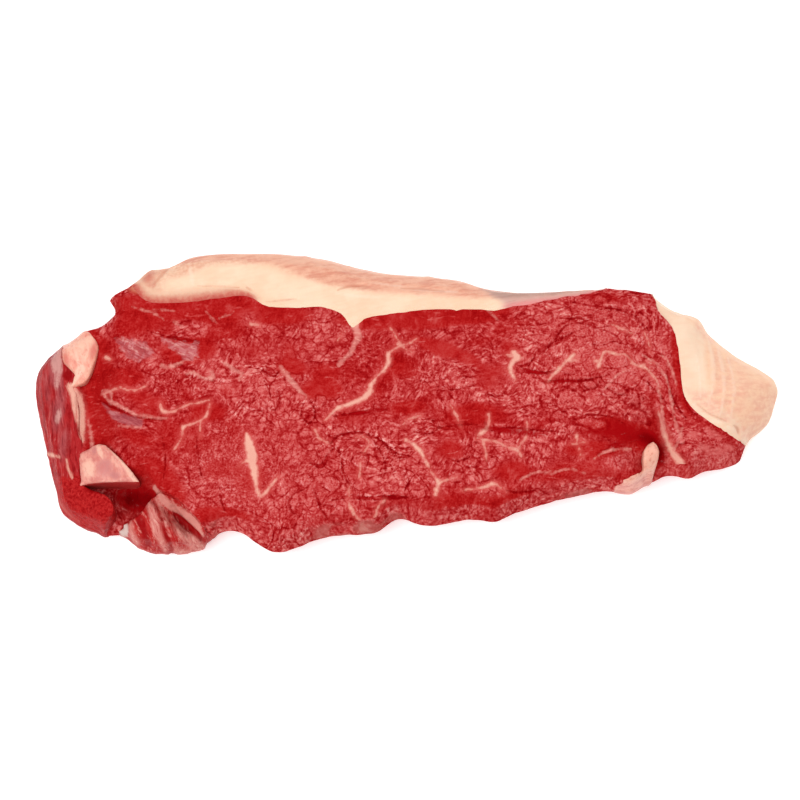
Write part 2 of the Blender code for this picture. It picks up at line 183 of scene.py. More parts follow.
class Skin:
    """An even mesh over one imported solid, with its points and their outward directions in plain arrays."""

    def __init__(self, name):
        block = solid_block(name)
        places, ways = seam_points(block, name)
        lap_seams(block, name)
        self.mesh = even_mesh(block, name)
        block.free()
        edges = read(self.mesh.edges, "vertices", 2, np.int32)
        self.points = settled(read(self.mesh.vertices, "co", 3).astype(float) / MM, edges)
        self.store_points()
        self.beyond_seam = self.reach_past(places, ways)
        self.beyond_seam -= over_seam(name, self.points[:, 0], self.points[:, 1])
        self.points -= self.ways * (np.clip(self.beyond_seam, 0, LAP) * LAP_SINK)[:, None]
        self.points[:, 2] = np.maximum(self.points[:, 2], 0)
        self.store_points()
        self.plan = self.points[:, :2]
        self.calm = eased(np.abs(self.beyond_seam), *RELIEF_FADE)

    def store_points(self):
        """Puts the points on the mesh in metres, and reads the outward direction at each."""
        self.mesh.vertices.foreach_set("co", (self.points * MM).astype(np.float32).ravel())
        self.mesh.update()
        self.ways = read(self.mesh.vertex_normals, "vector", 3).astype(float)

    def reach_past(self, places, ways):
        """How far each point lies past the solid's own seams in plan, and well below zero inside them."""
        tree = kdtree.KDTree(len(places))
        for i, place in enumerate(places):
            tree.insert(place, i)
        tree.balance()
        reach = np.empty(len(self.points))
        for i, (x, y, z) in enumerate(self.points):
            foot, nearest, _ = tree.find((x, y, 0))
            reach[i] = (x - foot[0]) * ways[nearest, 0] + (y - foot[1]) * ways[nearest, 1]
        return reach

    def swell(self, height, size, shift=0.0, scale=(1, 1, 1)):
        """Soft swellings of a height and a size in millimetres, longer where the scale is below 1."""
        return height * lumps(self.points * scale, size, shift)

    def raise_by(self, height):
        """Moves the points outwards by a height in millimetres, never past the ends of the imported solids."""
        self.points = np.clip(self.points + self.ways * (height * self.calm)[:, None], *SOLID_ENDS)
        self.store_points()

    def note(self, **values):
        """Keeps numbers for every point, which the material reads by their names."""
        for name, value in values.items():
            stored = self.mesh.attributes.new(name, "FLOAT", "POINT")
            stored.data.foreach_set("value", np.asarray(value, np.float32))

    def finished(self, name, node, slot, material):
        """Makes the piece itself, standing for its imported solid."""
        self.mesh.name = name
        self.mesh.shade_smooth()
        self.mesh.materials.clear()
        self.mesh.materials.append(material)
        piece = bpy.data.objects.new(name, self.mesh)
        bpy.context.scene.collection.objects.link(piece)
        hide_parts(node)
        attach(piece, "root")


def eased(value, start, end):
    """0 at start, 1 at end, with a smooth rise between."""
    share = np.clip((value - start) / (end - start), 0, 1)
    return share * share * (3 - 2 * share)


def lumps(points, size, shift):
    """Soft noise from about -1 to 1 whose lumps are about the given size in millimetres."""
    return np.array([noise.noise(place) for place in points / size + shift])


def bundles(points, size, bend):
    """How far each point is from the border between two rounded bundles, 0 on it, as a share of the size."""
    turned = points + bend * np.stack([lumps(points, size * 2.2, shift) for shift in (3, 17, 31)], axis=1)
    near = [noise.voronoi(place)[0] for place in turned / size]
    return np.array([second - first for first, second, *_ in near])


# How far from a drawn line its distance is still told apart, the thinnest that a line is drawn, and the steps
# of its curve from one row to the next
FAR = 6.0
THINNEST = 0.02
CURVE_STEPS = 5
# How boxy a smooth bundle is: 2 is an oval
BOXY = 2.6


def drawn(rows):
    """A smooth curve through rows of x, y and width."""
    rows = np.array(rows, float)
    ends = np.vstack([2 * rows[0] - rows[1], rows, 2 * rows[-1] - rows[-2]])
    share = np.linspace(0, 1, CURVE_STEPS, endpoint=False)[:, None]
    made = []
    for a, b, c, d in zip(ends, ends[1:], ends[2:], ends[3:]):
        bend = 2 * a - 5 * b + 4 * c - d + share * (3 * (b - c) + d - a)
        curve = b + 0.5 * share * (c - a + share * bend)
        curve[:, 2:] = np.maximum(curve[:, 2:], THINNEST)
        made.append(curve)
    return np.vstack([*made, rows[-1:]])


def from_line(curve, plan):
    """The share along each step of a curve that is nearest to each place, and the way from there to it."""
    start = curve[:-1, :2]
    step = curve[1:, :2] - start
    offset = plan[:, None, :] - start
    share = np.clip((offset * step).sum(axis=2) / np.maximum((step**2).sum(axis=1), 1e-9), 0, 1)
    return share, offset - share[..., None] * step


def stroke(rows, plan):
    """The distance in plan from the edge of a drawn line, below zero on it. Its width varies along it."""
    curve = drawn(rows)
    low = curve[:, :2].min(axis=0) - FAR
    high = curve[:, :2].max(axis=0) + FAR
    near = np.flatnonzero(((plan > low) & (plan < high)).all(axis=1))
    share, away = from_line(curve, plan[near])
    width = curve[:-1, 2] + share * (curve[1:, 2] - curve[:-1, 2])
    made = np.full(len(plan), FAR)
    made[near] = np.minimum((np.hypot(away[..., 0], away[..., 1]) - width / 2).min(axis=1), FAR)
    return made


def strokes(lines, plan):
    """The distance from the nearest of several drawn lines."""
    return np.min([stroke(rows, plan) for rows in lines], axis=0)


def patch(corners, plan):
    """The distance from the border of a closed patch, below zero inside it."""
    border = [(*corner, 0.0) for corner in [*corners, corners[0]]]
    edge = np.abs(stroke(border, plan))
    ring = drawn(border)[:, :2]
    ahead = np.roll(ring, -1, axis=0)
    x, y = plan[:, None, 0], plan[:, None, 1]
    rises = (ring[:, 1] > y) != (ahead[:, 1] > y)
    slope = (ahead - ring)[:, 0] / np.where(rises, (ahead - ring)[:, 1], 1)
    inside = (rises & (x < ring[:, 0] + (y - ring[:, 1]) * slope)).sum(axis=1) % 2 == 1
    return np.where(inside, -edge, edge)


def from_middle(plan, x, y, turn):
    """How far each place lies from a middle point, along a turned axis and across it."""
    angle = math.radians(turn)
    east, north = plan[:, 0] - x, plan[:, 1] - y
    return east * math.cos(angle) + north * math.sin(angle), north * math.cos(angle) - east * math.sin(angle)


def ovals(rows, plan):
    """The distance in plan from the nearest of several rounded boxes, below zero inside them."""
    made = np.full(len(plan), FAR)
    for x, y, length, width, turn in rows:
        along, across = from_middle(plan, x, y, turn)
        share = (np.abs(along / length) ** BOXY + np.abs(across / width) ** BOXY) ** (1 / BOXY)
        made = np.minimum(made, (share - 1) * width)
    return made


def dabs(rows, plan):
    """Soft oval dabs, laid over each other."""
    made = np.zeros(len(plan))
    for x, y, length, width, turn, strength in rows:
        along, across = from_middle(plan, x, y, turn)
        dab = strength * np.clip(1 - (along / length) ** 2 - (across / width) ** 2, 0, 1)
        made = made + dab * (1 - made)
    return made


# Streaks of fat in the lean: drawn lines
FAT_STREAKS = (
    ((-5.5, 21.5, 0.2), (-3, 17.5, 0.6), (-2.5, 15.5, 0.9), (-5.6, 13.6, 0.5), (-6.2, 12.4, 1.5),
     (-6.2, 9.4, 1.4), (-9, 6, 0.8), (-11.5, 3, 1.4), (-12.5, -0.4, 2.1), (-18, -3.5, 1.5), (-22, -4.8, 1.4),
     (-26.5, -9, 0.4)),
    ((-2.5, 15.5, 0.8), (0.5, 16.2, 0.5), (3, 18, 0.2)), ((-3, 16, 1), (1.5, 13.5, 0.3)),
    ((34.5, 13, 2.3), (35.5, 11.8, 2.5), (34, 10, 1.8), (33.2, 7.6, 1.6), (34.8, 4.2, 0.8)),
    ((31.8, 12.6, 0.4), (34, 12.2, 1.4), (37.2, 11.6, 0.6)),
    ((53.6, 12.6, 1.5), (51.4, 10.4, 1), (50, 9, 1.3), (47.2, 6.2, 1.4), (45.2, 3.6, 0.9)),
    ((51.2, 10.6, 1.1), (55.5, 10.8, 0.3)),
    ((26.2, -7, 0.5), (26.2, -10.5, 1), (24.2, -13, 1.6), (22.5, -13.8, 0.3)),
    ((22.8, -15.2, 0.9), (28, -16, 0.8), (32, -17.8, 0.6), (35, -18.8, 1.4), (37, -21.4, 0.3)),
    ((24.2, -16, 0.9), (25.2, -19.5, 0.5), (25.4, -22.5, 0.2)),
    ((38.4, -9.5, 0.3), (38.2, -14, 0.5), (35.4, -18.4, 1)),
    ((-0.5, -15.4, 0.8), (3.2, -18, 1.6), (6, -22.6, 1.1), (8, -26.6, 0.8), (9.8, -29.2, 1.5),
     (9, -33.2, 1.4)),
    ((9.8, -29.6, 1.2), (12.5, -28.6, 0.7), (16, -27.6, 0.2)),
    ((17.5, -31.8, 0.3), (24, -31, 0.7), (27.6, -29.8, 1.4), (31.5, -32.2, 0.3)),
    ((-18.6, -30.6, 0.5), (-18.8, -35.4, 0.6), (-17.6, -38.4, 1.2), (-15.4, -41.4, 0.5)),
    ((-7.2, -35, 0.5), (-9.4, -37.2, 0.7), (-10.2, -40.2, 1)),
    ((-29.6, -12, 0.7), (-28.4, -14.8, 0.6), (-25.2, -16.4, 0.5)), ((-15, -23, 0.5), (-15.4, -27.8, 0.6)),
    ((14, -4, 0.3), (16, -8, 0.8), (17.2, -11, 0.3)),
    ((-51.6, -13.4, 0.8), (-50.8, -16.4, 2.9), (-49.9, -20.6, 3.5), (-49.2, -24.6, 2.9), (-48.6, -28.6, 1.7),
     (-47.6, -33, 1.4), (-46.2, -33.4, 1.2), (-43.6, -30.4, 1.2), (-41.2, -27.2, 0.5)),
    ((-53.8, -23.8, 0.4), (-51.4, -22.4, 1.6), (-50, -23, 1.6)),
    ((-98, 0.6, 0.5), (-93, 1.8, 0.7), (-88.5, 0.8, 0.6), (-84, 2.2, 0.3)),
    ((-79.6, -3.4, 0.3), (-78.6, -5.8, 1.4), (-75.6, -6.2, 0.8), (-72, -4.4, 0.6), (-68, -3.4, 0.5),
     (-63.6, -2.4, 0.3)),
    ((-63.6, -3.6, 0.4), (-64.6, -7.6, 0.7), (-68, -9.8, 0.6), (-71.8, -11.2, 1.1), (-72.4, -14.6, 0.5),
     (-74.6, -18.4, 0.6)),
    ((-66.5, -10, 0.3), (-66.4, -14.6, 0.3)),
    ((61.6, 8.6, 1.5), (62.6, 11.4, 0.9), (63.8, 13.6, 0.9), (67.4, 12.8, 0.9), (70.6, 12.6, 0.8),
     (73, 9.6, 1.1), (76.4, 8.6, 1.3), (79.6, 5.4, 0.6), (81.6, 2, 0.3)),
    ((60, 10.4, 0.4), (62.2, 10.6, 0.9)), ((75.4, 9.4, 0.6), (79.4, 10.2, 0.2)),
    ((80.8, -5.5, 0.2), (81.7, -8.5, 0.8), (82.7, -11.6, 1.5), (84.1, -15.4, 1.8), (86.2, -19.4, 2.2),
     (88.8, -22.2, 1.9)),
    ((66.4, 22.6, 0.4), (69.2, 21.2, 0.9), (72.8, 19.8, 0.3)),
    ((76.8, 20, 0.6), (77.8, 17.6, 0.5), (78.2, 14, 0.3)),
    ((54.2, -13.8, 1.2), (54.6, -16, 0.5), (55.6, -20.4, 0.6)),
    ((52.6, -16.8, 0.3), (55, -16.6, 0.6), (57.4, -15.8, 0.2)), ((-97.2, 12.4, 1.2), (-95.8, 11.6, 0.9)),
    ((-107.6, 2.6, 1), (-106, -1, 2.4), (-105.4, -5, 2.6), (-105, -10, 2.2), (-104.6, -15, 0.8)),
    ((-16.9, 24, 3), (-16.5, 21.4, 1.9), (-16.2, 19, 0.7)), ((-20.8, 19.6, 0.3), (-22.6, 17, 0.3)),
    ((-16.5, -14.6, 0.2), (-14.6, -14.2, 0.5), (-12.4, -15.6, 0.5), (-12.6, -17.6, 0.4), (-14, -19.4, 0.2)),
    ((-1.5, -10.6, 0.3), (0.2, -8.8, 0.6), (2.6, -7.8, 0.6), (4.6, -7.4, 0.3)),
    ((-50.6, 22.8, 0.9), (-48, 22.4, 0.9)),
)
# The greyer streak under the point of the fat cap, and the sinews at the two ends: drawn lines
SINEWS = (
    ((-103.2, -7, 0.2), (-102.4, -11, 0.8), (-101.6, -16, 0.8), (-101, -19.6, 0.3)),
    ((-17, 22.5, 2.2), (-16, 18.5, 1.9), (-18.6, 13, 1.3), (-22.2, 9.2, 1)),
    ((-41, 8.6, 0.9), (-38, 4.6, 1.7), (-35, 1.2, 1.1), (-32.4, -1.4, 0.6)),
    ((80.5, 4, 0.5), (81.6, -2.5, 0.7), (82.2, -8, 0.8), (82.8, -12, 0.6)),
    ((84.6, 1, 0.3), (85.4, -5, 0.5), (86.6, -11, 0.5), (88.6, -16, 0.3)),
    ((-98.4, 0.6, 0.7), (-95.5, -2.4, 1.1), (-91.5, -4.6, 0.9), (-88, -6.6, 0.8), (-84, -7.6, 0.7),
     (-77.5, -8.2, 0.4)),
    ((-92.5, -10.6, 0.5), (-88, -11.2, 0.8), (-85.5, -11, 0.5)),
    ((-98.5, 2, 0.4), (-96, 1, 0.6), (-95.2, -2, 0.4)), ((-75.4, 23.6, 0.3), (-73, 22, 0.5)),
    ((-79, 9.2, 0.9), (-77, 8.5, 1.1), (-73, 10, 0.7), (-69.5, 11.6, 0.5)),
    ((-71, 6.2, 0.6), (-69, 6.5, 1), (-66, 5, 0.7), (-62.5, 5, 1.1), (-63, 7, 0.5)),
    ((-59, 10, 0.6), (-56, 7.5, 1.1), (-53.5, 6.5, 0.9), (-54, 4, 0.6)),
    ((88.6, -11, 0.4), (87.4, -14.6, 0.9), (85.8, -18, 0.3)),
    ((76, 12.6, 0.2), (80.6, 9.6, 0.5), (84, 4, 0.5), (85.4, -3, 0.3)),
    ((82, 13.6, 0.2), (85, 9, 0.4), (86.8, 3, 0.2)), ((63, 0.4, 0.2), (67, 5.4, 0.5), (71, 7.6, 0.3)),
    ((60, -21.4, 0.2), (65, -18.6, 0.6), (72, -17.4, 0.4)),
    ((46, -26.6, 0.2), (51, -25, 0.5), (57, -26, 0.2)),
    ((36, -28.6, 0.2), (40.6, -26.2, 0.6), (46, -25.8, 0.3)),
    ((-89, 28.4, 0.1), (-84.6, 27.2, 0.4), (-80.6, 25.6, 0.3), (-78.6, 24.2, 0.1)),
    ((-65, 27, 0.1), (-63, 24.6, 0.3), (-61.4, 23, 0.1)),
    ((-60.8, 24.8, 0.1), (-57.6, 25.8, 0.3), (-56, 27, 0.1)),
    ((-82, 27.4, 0.1), (-78, 27.2, 0.2), (-74, 26.8, 0.1)),
    ((26, 27.4, 0.2), (28.4, 25.2, 0.4), (30, 23, 0.1)),
)
# Cracks where bundles have parted, darkened with painted shade: drawn lines
CRACK_AND_SHADOW_LINES = (
    # First, a painted shadow line along the seam by the tail fat
    ((87.2, 12, 0.1), (88, 8, 0.3), (89.2, 3, 0.6), (89.4, -1, 0.6), (91, -5, 0.4), (95, -8.6, 0.2)),
    ((44, 3.6, 0.3), (49, 4, 0.7), (56, 4, 0.7), (62, 5, 0.5), (66, 6.4, 0.2)),
    ((55.5, 4, 0.4), (58, 1.5, 0.5), (60.5, 1.5, 0.5), (62.5, 4.4, 0.3)),
    ((46, 25, 0.2), (52, 24.5, 0.5), (56.5, 24.5, 0.5), (58.5, 22.5, 0.5), (61.5, 21.5, 0.5),
     (66, 22.4, 0.2)),
    ((61, 27, 0.2), (65, 28, 0.5), (70.5, 27, 0.5), (74.5, 25, 0.5), (78, 21.5, 0.2)),
    ((62.5, 2.6, 0.2), (65.5, 1, 0.6), (68, -0.5, 0.6), (71, -0.6, 0.2)),
    ((72, 4.6, 0.2), (74.6, 2, 0.4), (76, -2, 0.3)),
    ((77.5, 4, 0.3), (79.5, 1.5, 0.5), (81.5, 0, 0.5), (84, -4, 0.3)),
    ((84, 8, 0.2), (84.6, 2, 0.4), (87, -4, 0.5), (90, -8, 0.3)),
    ((39, 9, 0.3), (41.5, 12, 0.5), (46.5, 16, 0.6), (49, 19.5, 0.5), (52, 22.5, 0.5), (59, 23, 0.4)),
    ((46, 16, 0.5), (52, 19, 0.4), (57.5, 21.5, 0.2)),
    ((36.5, 8.5, 0.4), (40.5, 7, 1), (45, 6.6, 0.8), (50, 8.5, 0.3)),
    ((8.5, -11.8, 0.3), (17.5, -10.5, 0.6), (22.5, -10.6, 0.3)),
    ((27, -12.5, 0.3), (32.5, -11.5, 0.5), (38.5, -12, 0.6), (47, -12.6, 0.5), (53, -13.2, 0.2)),
    ((56, -7.4, 0.2), (61, -6.8, 0.5), (66, -7.6, 0.4), (70.6, -9.6, 0.2)),
    ((-9, -17, 0.3), (-6, -18, 0.5), (-4, -20.5, 0.5), (-0.5, -21, 0.5), (1.6, -19, 0.3)),
    ((2, -12.5, 0.4), (6.5, -13.5, 0.5), (9.5, -12, 0.5), (10, -10.5, 0.4), (8, -9, 0.3)),
    ((31.5, -32, 0.3), (35.5, -32.5, 0.6), (41.5, -31.8, 0.3)),
    ((26, -0.5, 0.3), (29, -1.2, 0.5), (33, 1.2, 0.3)),
    ((-24.5, -16.5, 0.4), (-22, -14, 0.6), (-17, -13, 0.6), (-12.5, -13.5, 0.7), (-8.5, -15.5, 0.6),
     (-4.5, -19, 0.5), (-2, -20.4, 0.2)),
    ((-11, -14.6, 0.3), (-9.5, -17.5, 0.6), (-7.5, -21.5, 0.6), (-7, -25.5, 0.5), (-8.6, -29.6, 0.3)),
    ((-22.5, -18, 0.3), (-21, -21.5, 0.6), (-20.5, -26, 0.6), (-18.5, -30, 0.5), (-16.5, -32, 0.3)),
    ((-31, -23, 0.3), (-28.5, -24, 1.1), (-27, -23.5, 1.2), (-25, -20, 0.7), (-23.5, -18, 0.4)),
    ((-30, -31, 0.3), (-28.5, -35, 0.7), (-27.5, -38, 0.7), (-25.4, -41, 0.4)),
    ((-27.5, -36.6, 0.5), (-24, -37, 0.5), (-22, -38.5, 0.2)),
    ((-33, -31.6, 0.3), (-36, -33, 0.5), (-37.8, -35.8, 0.6), (-37, -38.5, 0.6), (-34.6, -40.5, 0.3)),
    ((-51, 8.6, 0.2), (-46.5, 7.5, 0.5), (-43, 5.5, 0.6), (-41.2, 7.4, 0.2)),
    ((-45.4, -3, 0.2), (-43.5, -5.5, 0.5), (-41.5, -4.5, 0.5), (-41, -1.5, 0.5), (-41.8, 1.4, 0.3)),
    ((-43.5, -4.6, 0.2), (-44.4, 0.6, 0.4), (-46, 4, 0.3)),
    ((-67.8, -14.5, 0.2), (-67, -20.5, 0.5), (-66.5, -24, 0.5), (-65.6, -28.5, 0.2)),
    ((-71, 5.2, 0.2), (-66.5, 4.5, 0.4), (-63, 4, 0.4), (-57, 3, 0.2)),
    ((-33.5, -3.6, 0.3), (-33.8, -7.5, 0.5), (-31.5, -10, 0.5), (-29.5, -7.5, 0.5), (-30, -4.5, 0.5),
     (-31.5, -2, 0.3)),
    ((-24, -7.6, 0.3), (-16.5, -6.6, 1), (-12.5, -6, 1), (-6.5, -5.4, 0.4)),
    ((-24, -35, 0.6), (-18.5, -34, 1), (-13.5, -34.5, 1.3), (-6, -34.2, 1.4), (2, -34.4, 0.5)),
    ((-99.5, -1.2, 0.4), (-96, -3.6, 0.8), (-91.5, -6, 0.8), (-87.5, -7.7, 0.7), (-79, -8.9, 0.3)),
    ((-79.5, 18.8, 0.3), (-74.5, 18.2, 0.9), (-71, 17.6, 0.9), (-67.3, 17, 0.4)),
    ((-84, 20.6, 0.3), (-77, 18.4, 0.6), (-67, 16.2, 0.3)),
    ((-78.5, -14.5, 0.2), (-77.5, -21.5, 0.4), (-78, -28, 0.2)),
    ((-60, -31, 0.2), (-59.4, -35.4, 0.5), (-58.2, -38.6, 0.3)),
    ((-54, -3, 0.2), (-51, -5.6, 0.4), (-46.4, -6, 0.2)), ((10, 2, 0.2), (15, 1, 0.4), (21.5, 2.4, 0.2)),
    ((1.5, 5.2, 0.2), (6.4, 3.6, 0.4), (12, 4.6, 0.2)),
    ((12, -21, 0.2), (16.4, -22.4, 0.5), (21, -20.6, 0.3)),
    ((-2, -25, 0.2), (0.6, -28.6, 0.5), (-0.8, -32, 0.3)),
    ((58, 17, 0.2), (62, 15.6, 0.4), (67.4, 17, 0.4), (72, 15.6, 0.2)),
    ((40, -3, 0.2), (46, -4.2, 0.4), (52, -3, 0.2)),
)
# Grey films of connective tissue, and the mauve film that lies in the open fold at the left: their corners
FILM_PATCHES = (
    ((-94.5, 18), (-88, 17.4), (-84, 16), (-81.8, 13.5), (-83.5, 11.2), (-88, 10.4), (-91.5, 13)),
    ((-79, 18), (-73, 17), (-67.5, 16.4), (-68, 12), (-71.5, 10.5), (-74, 13), (-77, 15.2)),
)
FOLD_FILM = ((-99, -2), (-96, -4.5), (-91.5, -6.8), (-85.2, -8.6), (-85.8, -11), (-91.5, -10), (-95.4, -7.4))
# The pale lip of the cut edge over the flap: a drawn line
LIP = (
    (-81, -30.5, 1), (-79, -33, 1.9), (-77, -35, 2), (-73, -37.4, 1.8), (-68, -41.5, 1.8), (-66, -44.5, 0.8),
)
# Bundles whose smooth pink ends stand out, with a dark seam round each: x, y, half length, half width, turn
SMOOTH_BUNDLES = (
    (57, 28, 4.6, 1.6, -4), (63, 26, 3.6, 2, 20), (62.5, 31, 2.2, 0.8, -8), (69.2, 25.4, 2.6, 2, -10),
    (54, 21.2, 5.4, 2.6, 8), (46.5, 17, 2.8, 1, 25), (44.5, 11.2, 3.4, 1.9, -10),
    (64.2, 17.2, 4.2, 3.2, -20), (58.5, 2.8, 2.7, 1.6, 0), (66, 1.2, 4.3, 1.8, -15),
    (72.6, -1.8, 2.8, 1.9, -25), (52.5, -2.4, 4.2, 3.2, 0), (59, -9.4, 5.2, 2, -6),
    (48.6, -7.6, 2.2, 1.8, 0), (74.8, -6.4, 3.4, 1.3, -28), (68.2, 10.2, 3.4, 2.4, 0),
    (52, 7.4, 2.8, 1.6, 0), (70.5, 20.6, 2.2, 1.3, -30), (76.6, 24, 2.6, 1.6, -40), (20.5, 6.8, 2.2, 1.1, 4),
    (37.6, 25.4, 1.8, 0.8, 0), (44, 24.6, 2.6, 1.8, 30), (37.4, 8, 1.8, 1.3, 0), (12, -1, 2, 1.1, 0),
    (10.4, -10.6, 2.6, 1.5, 0), (22.4, -18, 2.3, 1.1, 4), (15.6, -27.4, 2.8, 1.8, 10),
    (20.6, -22.6, 2, 1.7, 0), (27, -23.2, 1.8, 1.5, 0), (64.6, -18.4, 3.2, 1, 20), (40.2, -5.8, 2.2, 1.2, 0),
    (44.6, -2, 2, 1.4, 10), (-42, 1.6, 2, 3, -15), (-35.6, 5.2, 2, 1.6, 0), (-28.4, -3.6, 1.6, 2.4, 10),
    (-23, -13.2, 2.6, 1.9, -15), (-26, -19.8, 3, 1.8, 10), (-15, -22.6, 2.2, 2.6, 0),
    (-33, -28.4, 2.4, 1.6, 30), (-24.4, -29.8, 2.8, 2.2, 0), (-8, -19.6, 1.8, 2.8, -10),
    (-3.8, -22.4, 1.5, 2.8, -20), (-50.4, -2, 2, 1.5, 0), (-56.2, 7, 2, 1.4, 20),
)
# Dabs where the near wall shows its thin grey-brown skin
WALL_SKIN = (
    (-63, -42, 6, 4, 0, 0.7), (-27, -45, 9, 3.4, 14, 0.9), (-16, -43.6, 14, 4.2, 5, 1),
    (-4, -40, 7, 3.4, 20, 0.8), (54, -32, 13, 3, 12, 0.8), (72, -29, 8, 3, 5, 0.7), (12, -39, 4, 2, 0, 0.4),
)
# Dabs where the face is pale and grainy: pale grain, and painted glare of the lamps on the wet face
PALE_DABS = (
    (-46, 0, 26, 13, -10, 0.85), (-12, -16, 17, 13, 20, 0.75), (18, 7, 18, 11, -15, 0.75),
    (62, 17, 24, 13, -8, 0.95), (55, -3, 18, 7, 0, 0.95), (67, 0, 12, 6, -20, 0.8),
    (-31, -20, 17, 12, 0, 0.3), (-58, -27, 17, 13, 0, 0.3), (34, -18, 18, 8, 0, 0.55),
    (-60, 10, 13, 8, 0, 0.6), (-30, 14, 14, 8, 10, 0.3), (16, -22, 18, 10, 0, 0.5),
    (43, 14, 14, 10, 0, 0.75), (-4, -26, 12, 10, 0, 0.75), (-34, -34, 18, 9, 0, 0.35),
    (80, 12, 9, 16, 10, 0.3), (88, -17, 12, 6, 0, 0.35), (-84, 22, 14, 4, -8, 0.15), (33, 1, 15, 8, 0, 0.7),
    (72, 6, 9, 8, 0, 0.8), (40, -20, 13, 6, 10, 0.2), (80, 26, 10, 5, -30, 0.6), (50, 29, 18, 4, -3, 0.8),
    (-27, 21, 13, 4, 0, 0.65), (4, -10, 8, 5, 0, 0.5), (20, 21, 9, 4, 0, 0.5), (-72, -32, 10, 8, 0, 0.3),
    (67, -23, 9, 4, 10, 0.6), (-1, 1, 8, 5, 0, 0.6), (15, -4, 7, 4, 0, 0.5), (72, -5, 8, 4, -15, 0.9),
    (49, 9, 8, 6, 0, 0.9), (-97, 22, 4, 4, 0, 0.6), (50, -12, 7, 4, 0, 0.8), (70, 27, 9, 3.4, -6, 0.8),
    (-51, 26, 6, 3.4, 0, 1), (46, 26, 13, 4, 0, 0.9), (-70, 21, 7, 4, 0, 0.8), (4, -16, 6, 6, 0, 0.7),
    (-31, 26, 11, 3.4, 0, 0.6), (39, -6, 7, 4, 0, 0.7), (-21, -12, 7, 4, 0, 0.6), (-18, -35, 6, 5, 0, 0.6),
    (-44, 14, 6, 4, 0, 0.5), (28, 14, 5, 4, 0, 0.5), (1, 14, 4, 4, 0, 0.4), (47, -31, 9, 3, 8, 0.5),
    (-12, -32, 8, 5, 0, 0.6), (94, -17, 14, 7, -10, 0.4), (47, 15, 8, 6, 0, 0.7), (26, -32, 6, 4, 0, 0.5),
    (20, -19, 4, 5, 0, 0.4), (-63, -12, 6, 4, 0, 0.5),
)
# Dabs where it is smooth and deep red: the meat's own red, and painted shade along seams, valleys and folds
DEEP_DABS = (
    (-66, 28, 44, 5, -2, 0.85), (-40, 25.5, 14, 3.5, 0, 0.5), (4, 25, 30, 4.5, 3, 1),
    (13.5, 13.5, 14, 3.2, -22, 0.85), (22, -7, 11, 4.5, 0, 0.75), (62, -25, 26, 5, 8, 0.35),
    (-79, -30, 12, 7, -40, 0.85), (-100, 0, 7, 24, 5, 0.9), (-10, 1, 12, 4, 40, 0.2),
    (-60, -40.5, 11, 3.8, -3, 1), (20, -36, 34, 4, 4, 0.35), (84, 28, 8, 4, -40, 0.35),
    (88.6, 8, 2.8, 17, 7, 1), (60, -18.5, 11, 3.2, 0, 0.9), (80, -18, 3, 6, 10, 1),
    (97, -25, 12, 3, -12, 0.25), (72, -13, 14, 5, -20, 0.7), (-14, -8, 14, 4, 12, 0.35),
    (-84, -2, 9, 3.5, -15, 0.6), (14, 27, 22, 3, 3, 0.8), (-8, -33, 14, 2, 0, 0.2),
    (-87, 23, 10, 5, 10, 0.5), (-100, -6, 4, 16, -4, 1), (-94, 5, 10, 4, 0, 0.85),
    (-88, -14, 8, 3, -20, 0.4), (-72, -13, 14, 7, -10, 0.2), (-72, 22, 26, 4, -3, 0.2),
    (-27, 6, 6, 5, 0, 0.5), (27, 5, 7, 6, 0, 0.7), (-40, 14, 16, 4, 4, 0.3), (12, 15, 5, 4, 0, 0.5),
    (-60, -25, 8, 4, 0, 0.35), (-70, 14, 10, 5, 0, 1), (-28, 1, 8, 4, 0, 0.9), (-37, 8, 6, 4, 0, 0.8),
    (-4, 10, 4, 4, 0, 0.5), (33, -25, 9, 4, 0, 0.7), (14, -19, 6, 4, 0, 0.7), (-64, -6, 7, 4, 0, 0.5),
    (-84, -6, 6, 4, 0, 0.5), (-50, -29, 6, 8, 0, 0.35), (-18, -25, 5, 3, 0, 0.4), (-57, 1, 6, 4, 0, 0.4),
    (1, -5, 6, 3, 0, 0.4), (33, 14, 5, 4, 0, 0.4),
)
# Dabs where the grain is finer and more even than elsewhere
EVEN_DABS = (
    (96, -22, 14, 7, 0, 1), (97, -15, 12, 5, -20, 0.8), (-54, -26, 26, 20, 0, 1), (66, 14, 28, 19, 0, 0.6),
    (-28, -30, 12, 12, 0, 0.6), (60, -22, 26, 8, 8, 0.7),
)
# Painted shade: dark dabs in the hollows, creases and folds
HOLLOW_SHADE_DABS = (
    (-88, -32.5, 8, 5, -12, 1), (-83, -33.5, 4, 3, 0, 0.8), (-66.5, -44.5, 3, 3, 0, 0.7),
    (64, -12.8, 16, 2, -2, 0.4), (71, -11.5, 11, 4, -18, 0.45), (77.5, -13.5, 4, 3.6, 0, 0.9),
    (80.6, -17.5, 2.4, 6, 20, 1), (33, -12.6, 16, 1.5, -6, 0.5), (-15, -6.6, 4, 1.3, 4, 0.45),
    (-9, -5.4, 3.4, 1.2, 8, 0.45), (68, -16, 8, 2, 20, 0.4), (49, 3.8, 9, 1.1, 2, 0.4),
    (40, 7, 5, 1.3, -10, 0.5),
)
# Painted sheen: soft pale streaks of light along the fibres of the tail lobe
SHEEN_DABS = (
    (88.2, -15.4, 1.2, 3, 8, 0.8), (96.4, -17.4, 4, 1.8, -22, 1), (100.2, -18, 3.4, 1.8, 14, 1),
    (92, -13.2, 4, 1.3, 4, 0.9), (97.4, -21.4, 5, 1.6, 10, 0.6), (104, -17.4, 3, 2.4, 20, 0.9),
    (98, -12.4, 4, 2, -30, 0.9),
)
# Where tan film of the fat cap thins out over the lean
TAN_DABS = ((-86, 35, 7, 3.6, -8, 1), (-74, 33.2, 13, 1.7, -1, 0.8), (-62, 34.4, 8, 1.3, 4, 0.6))

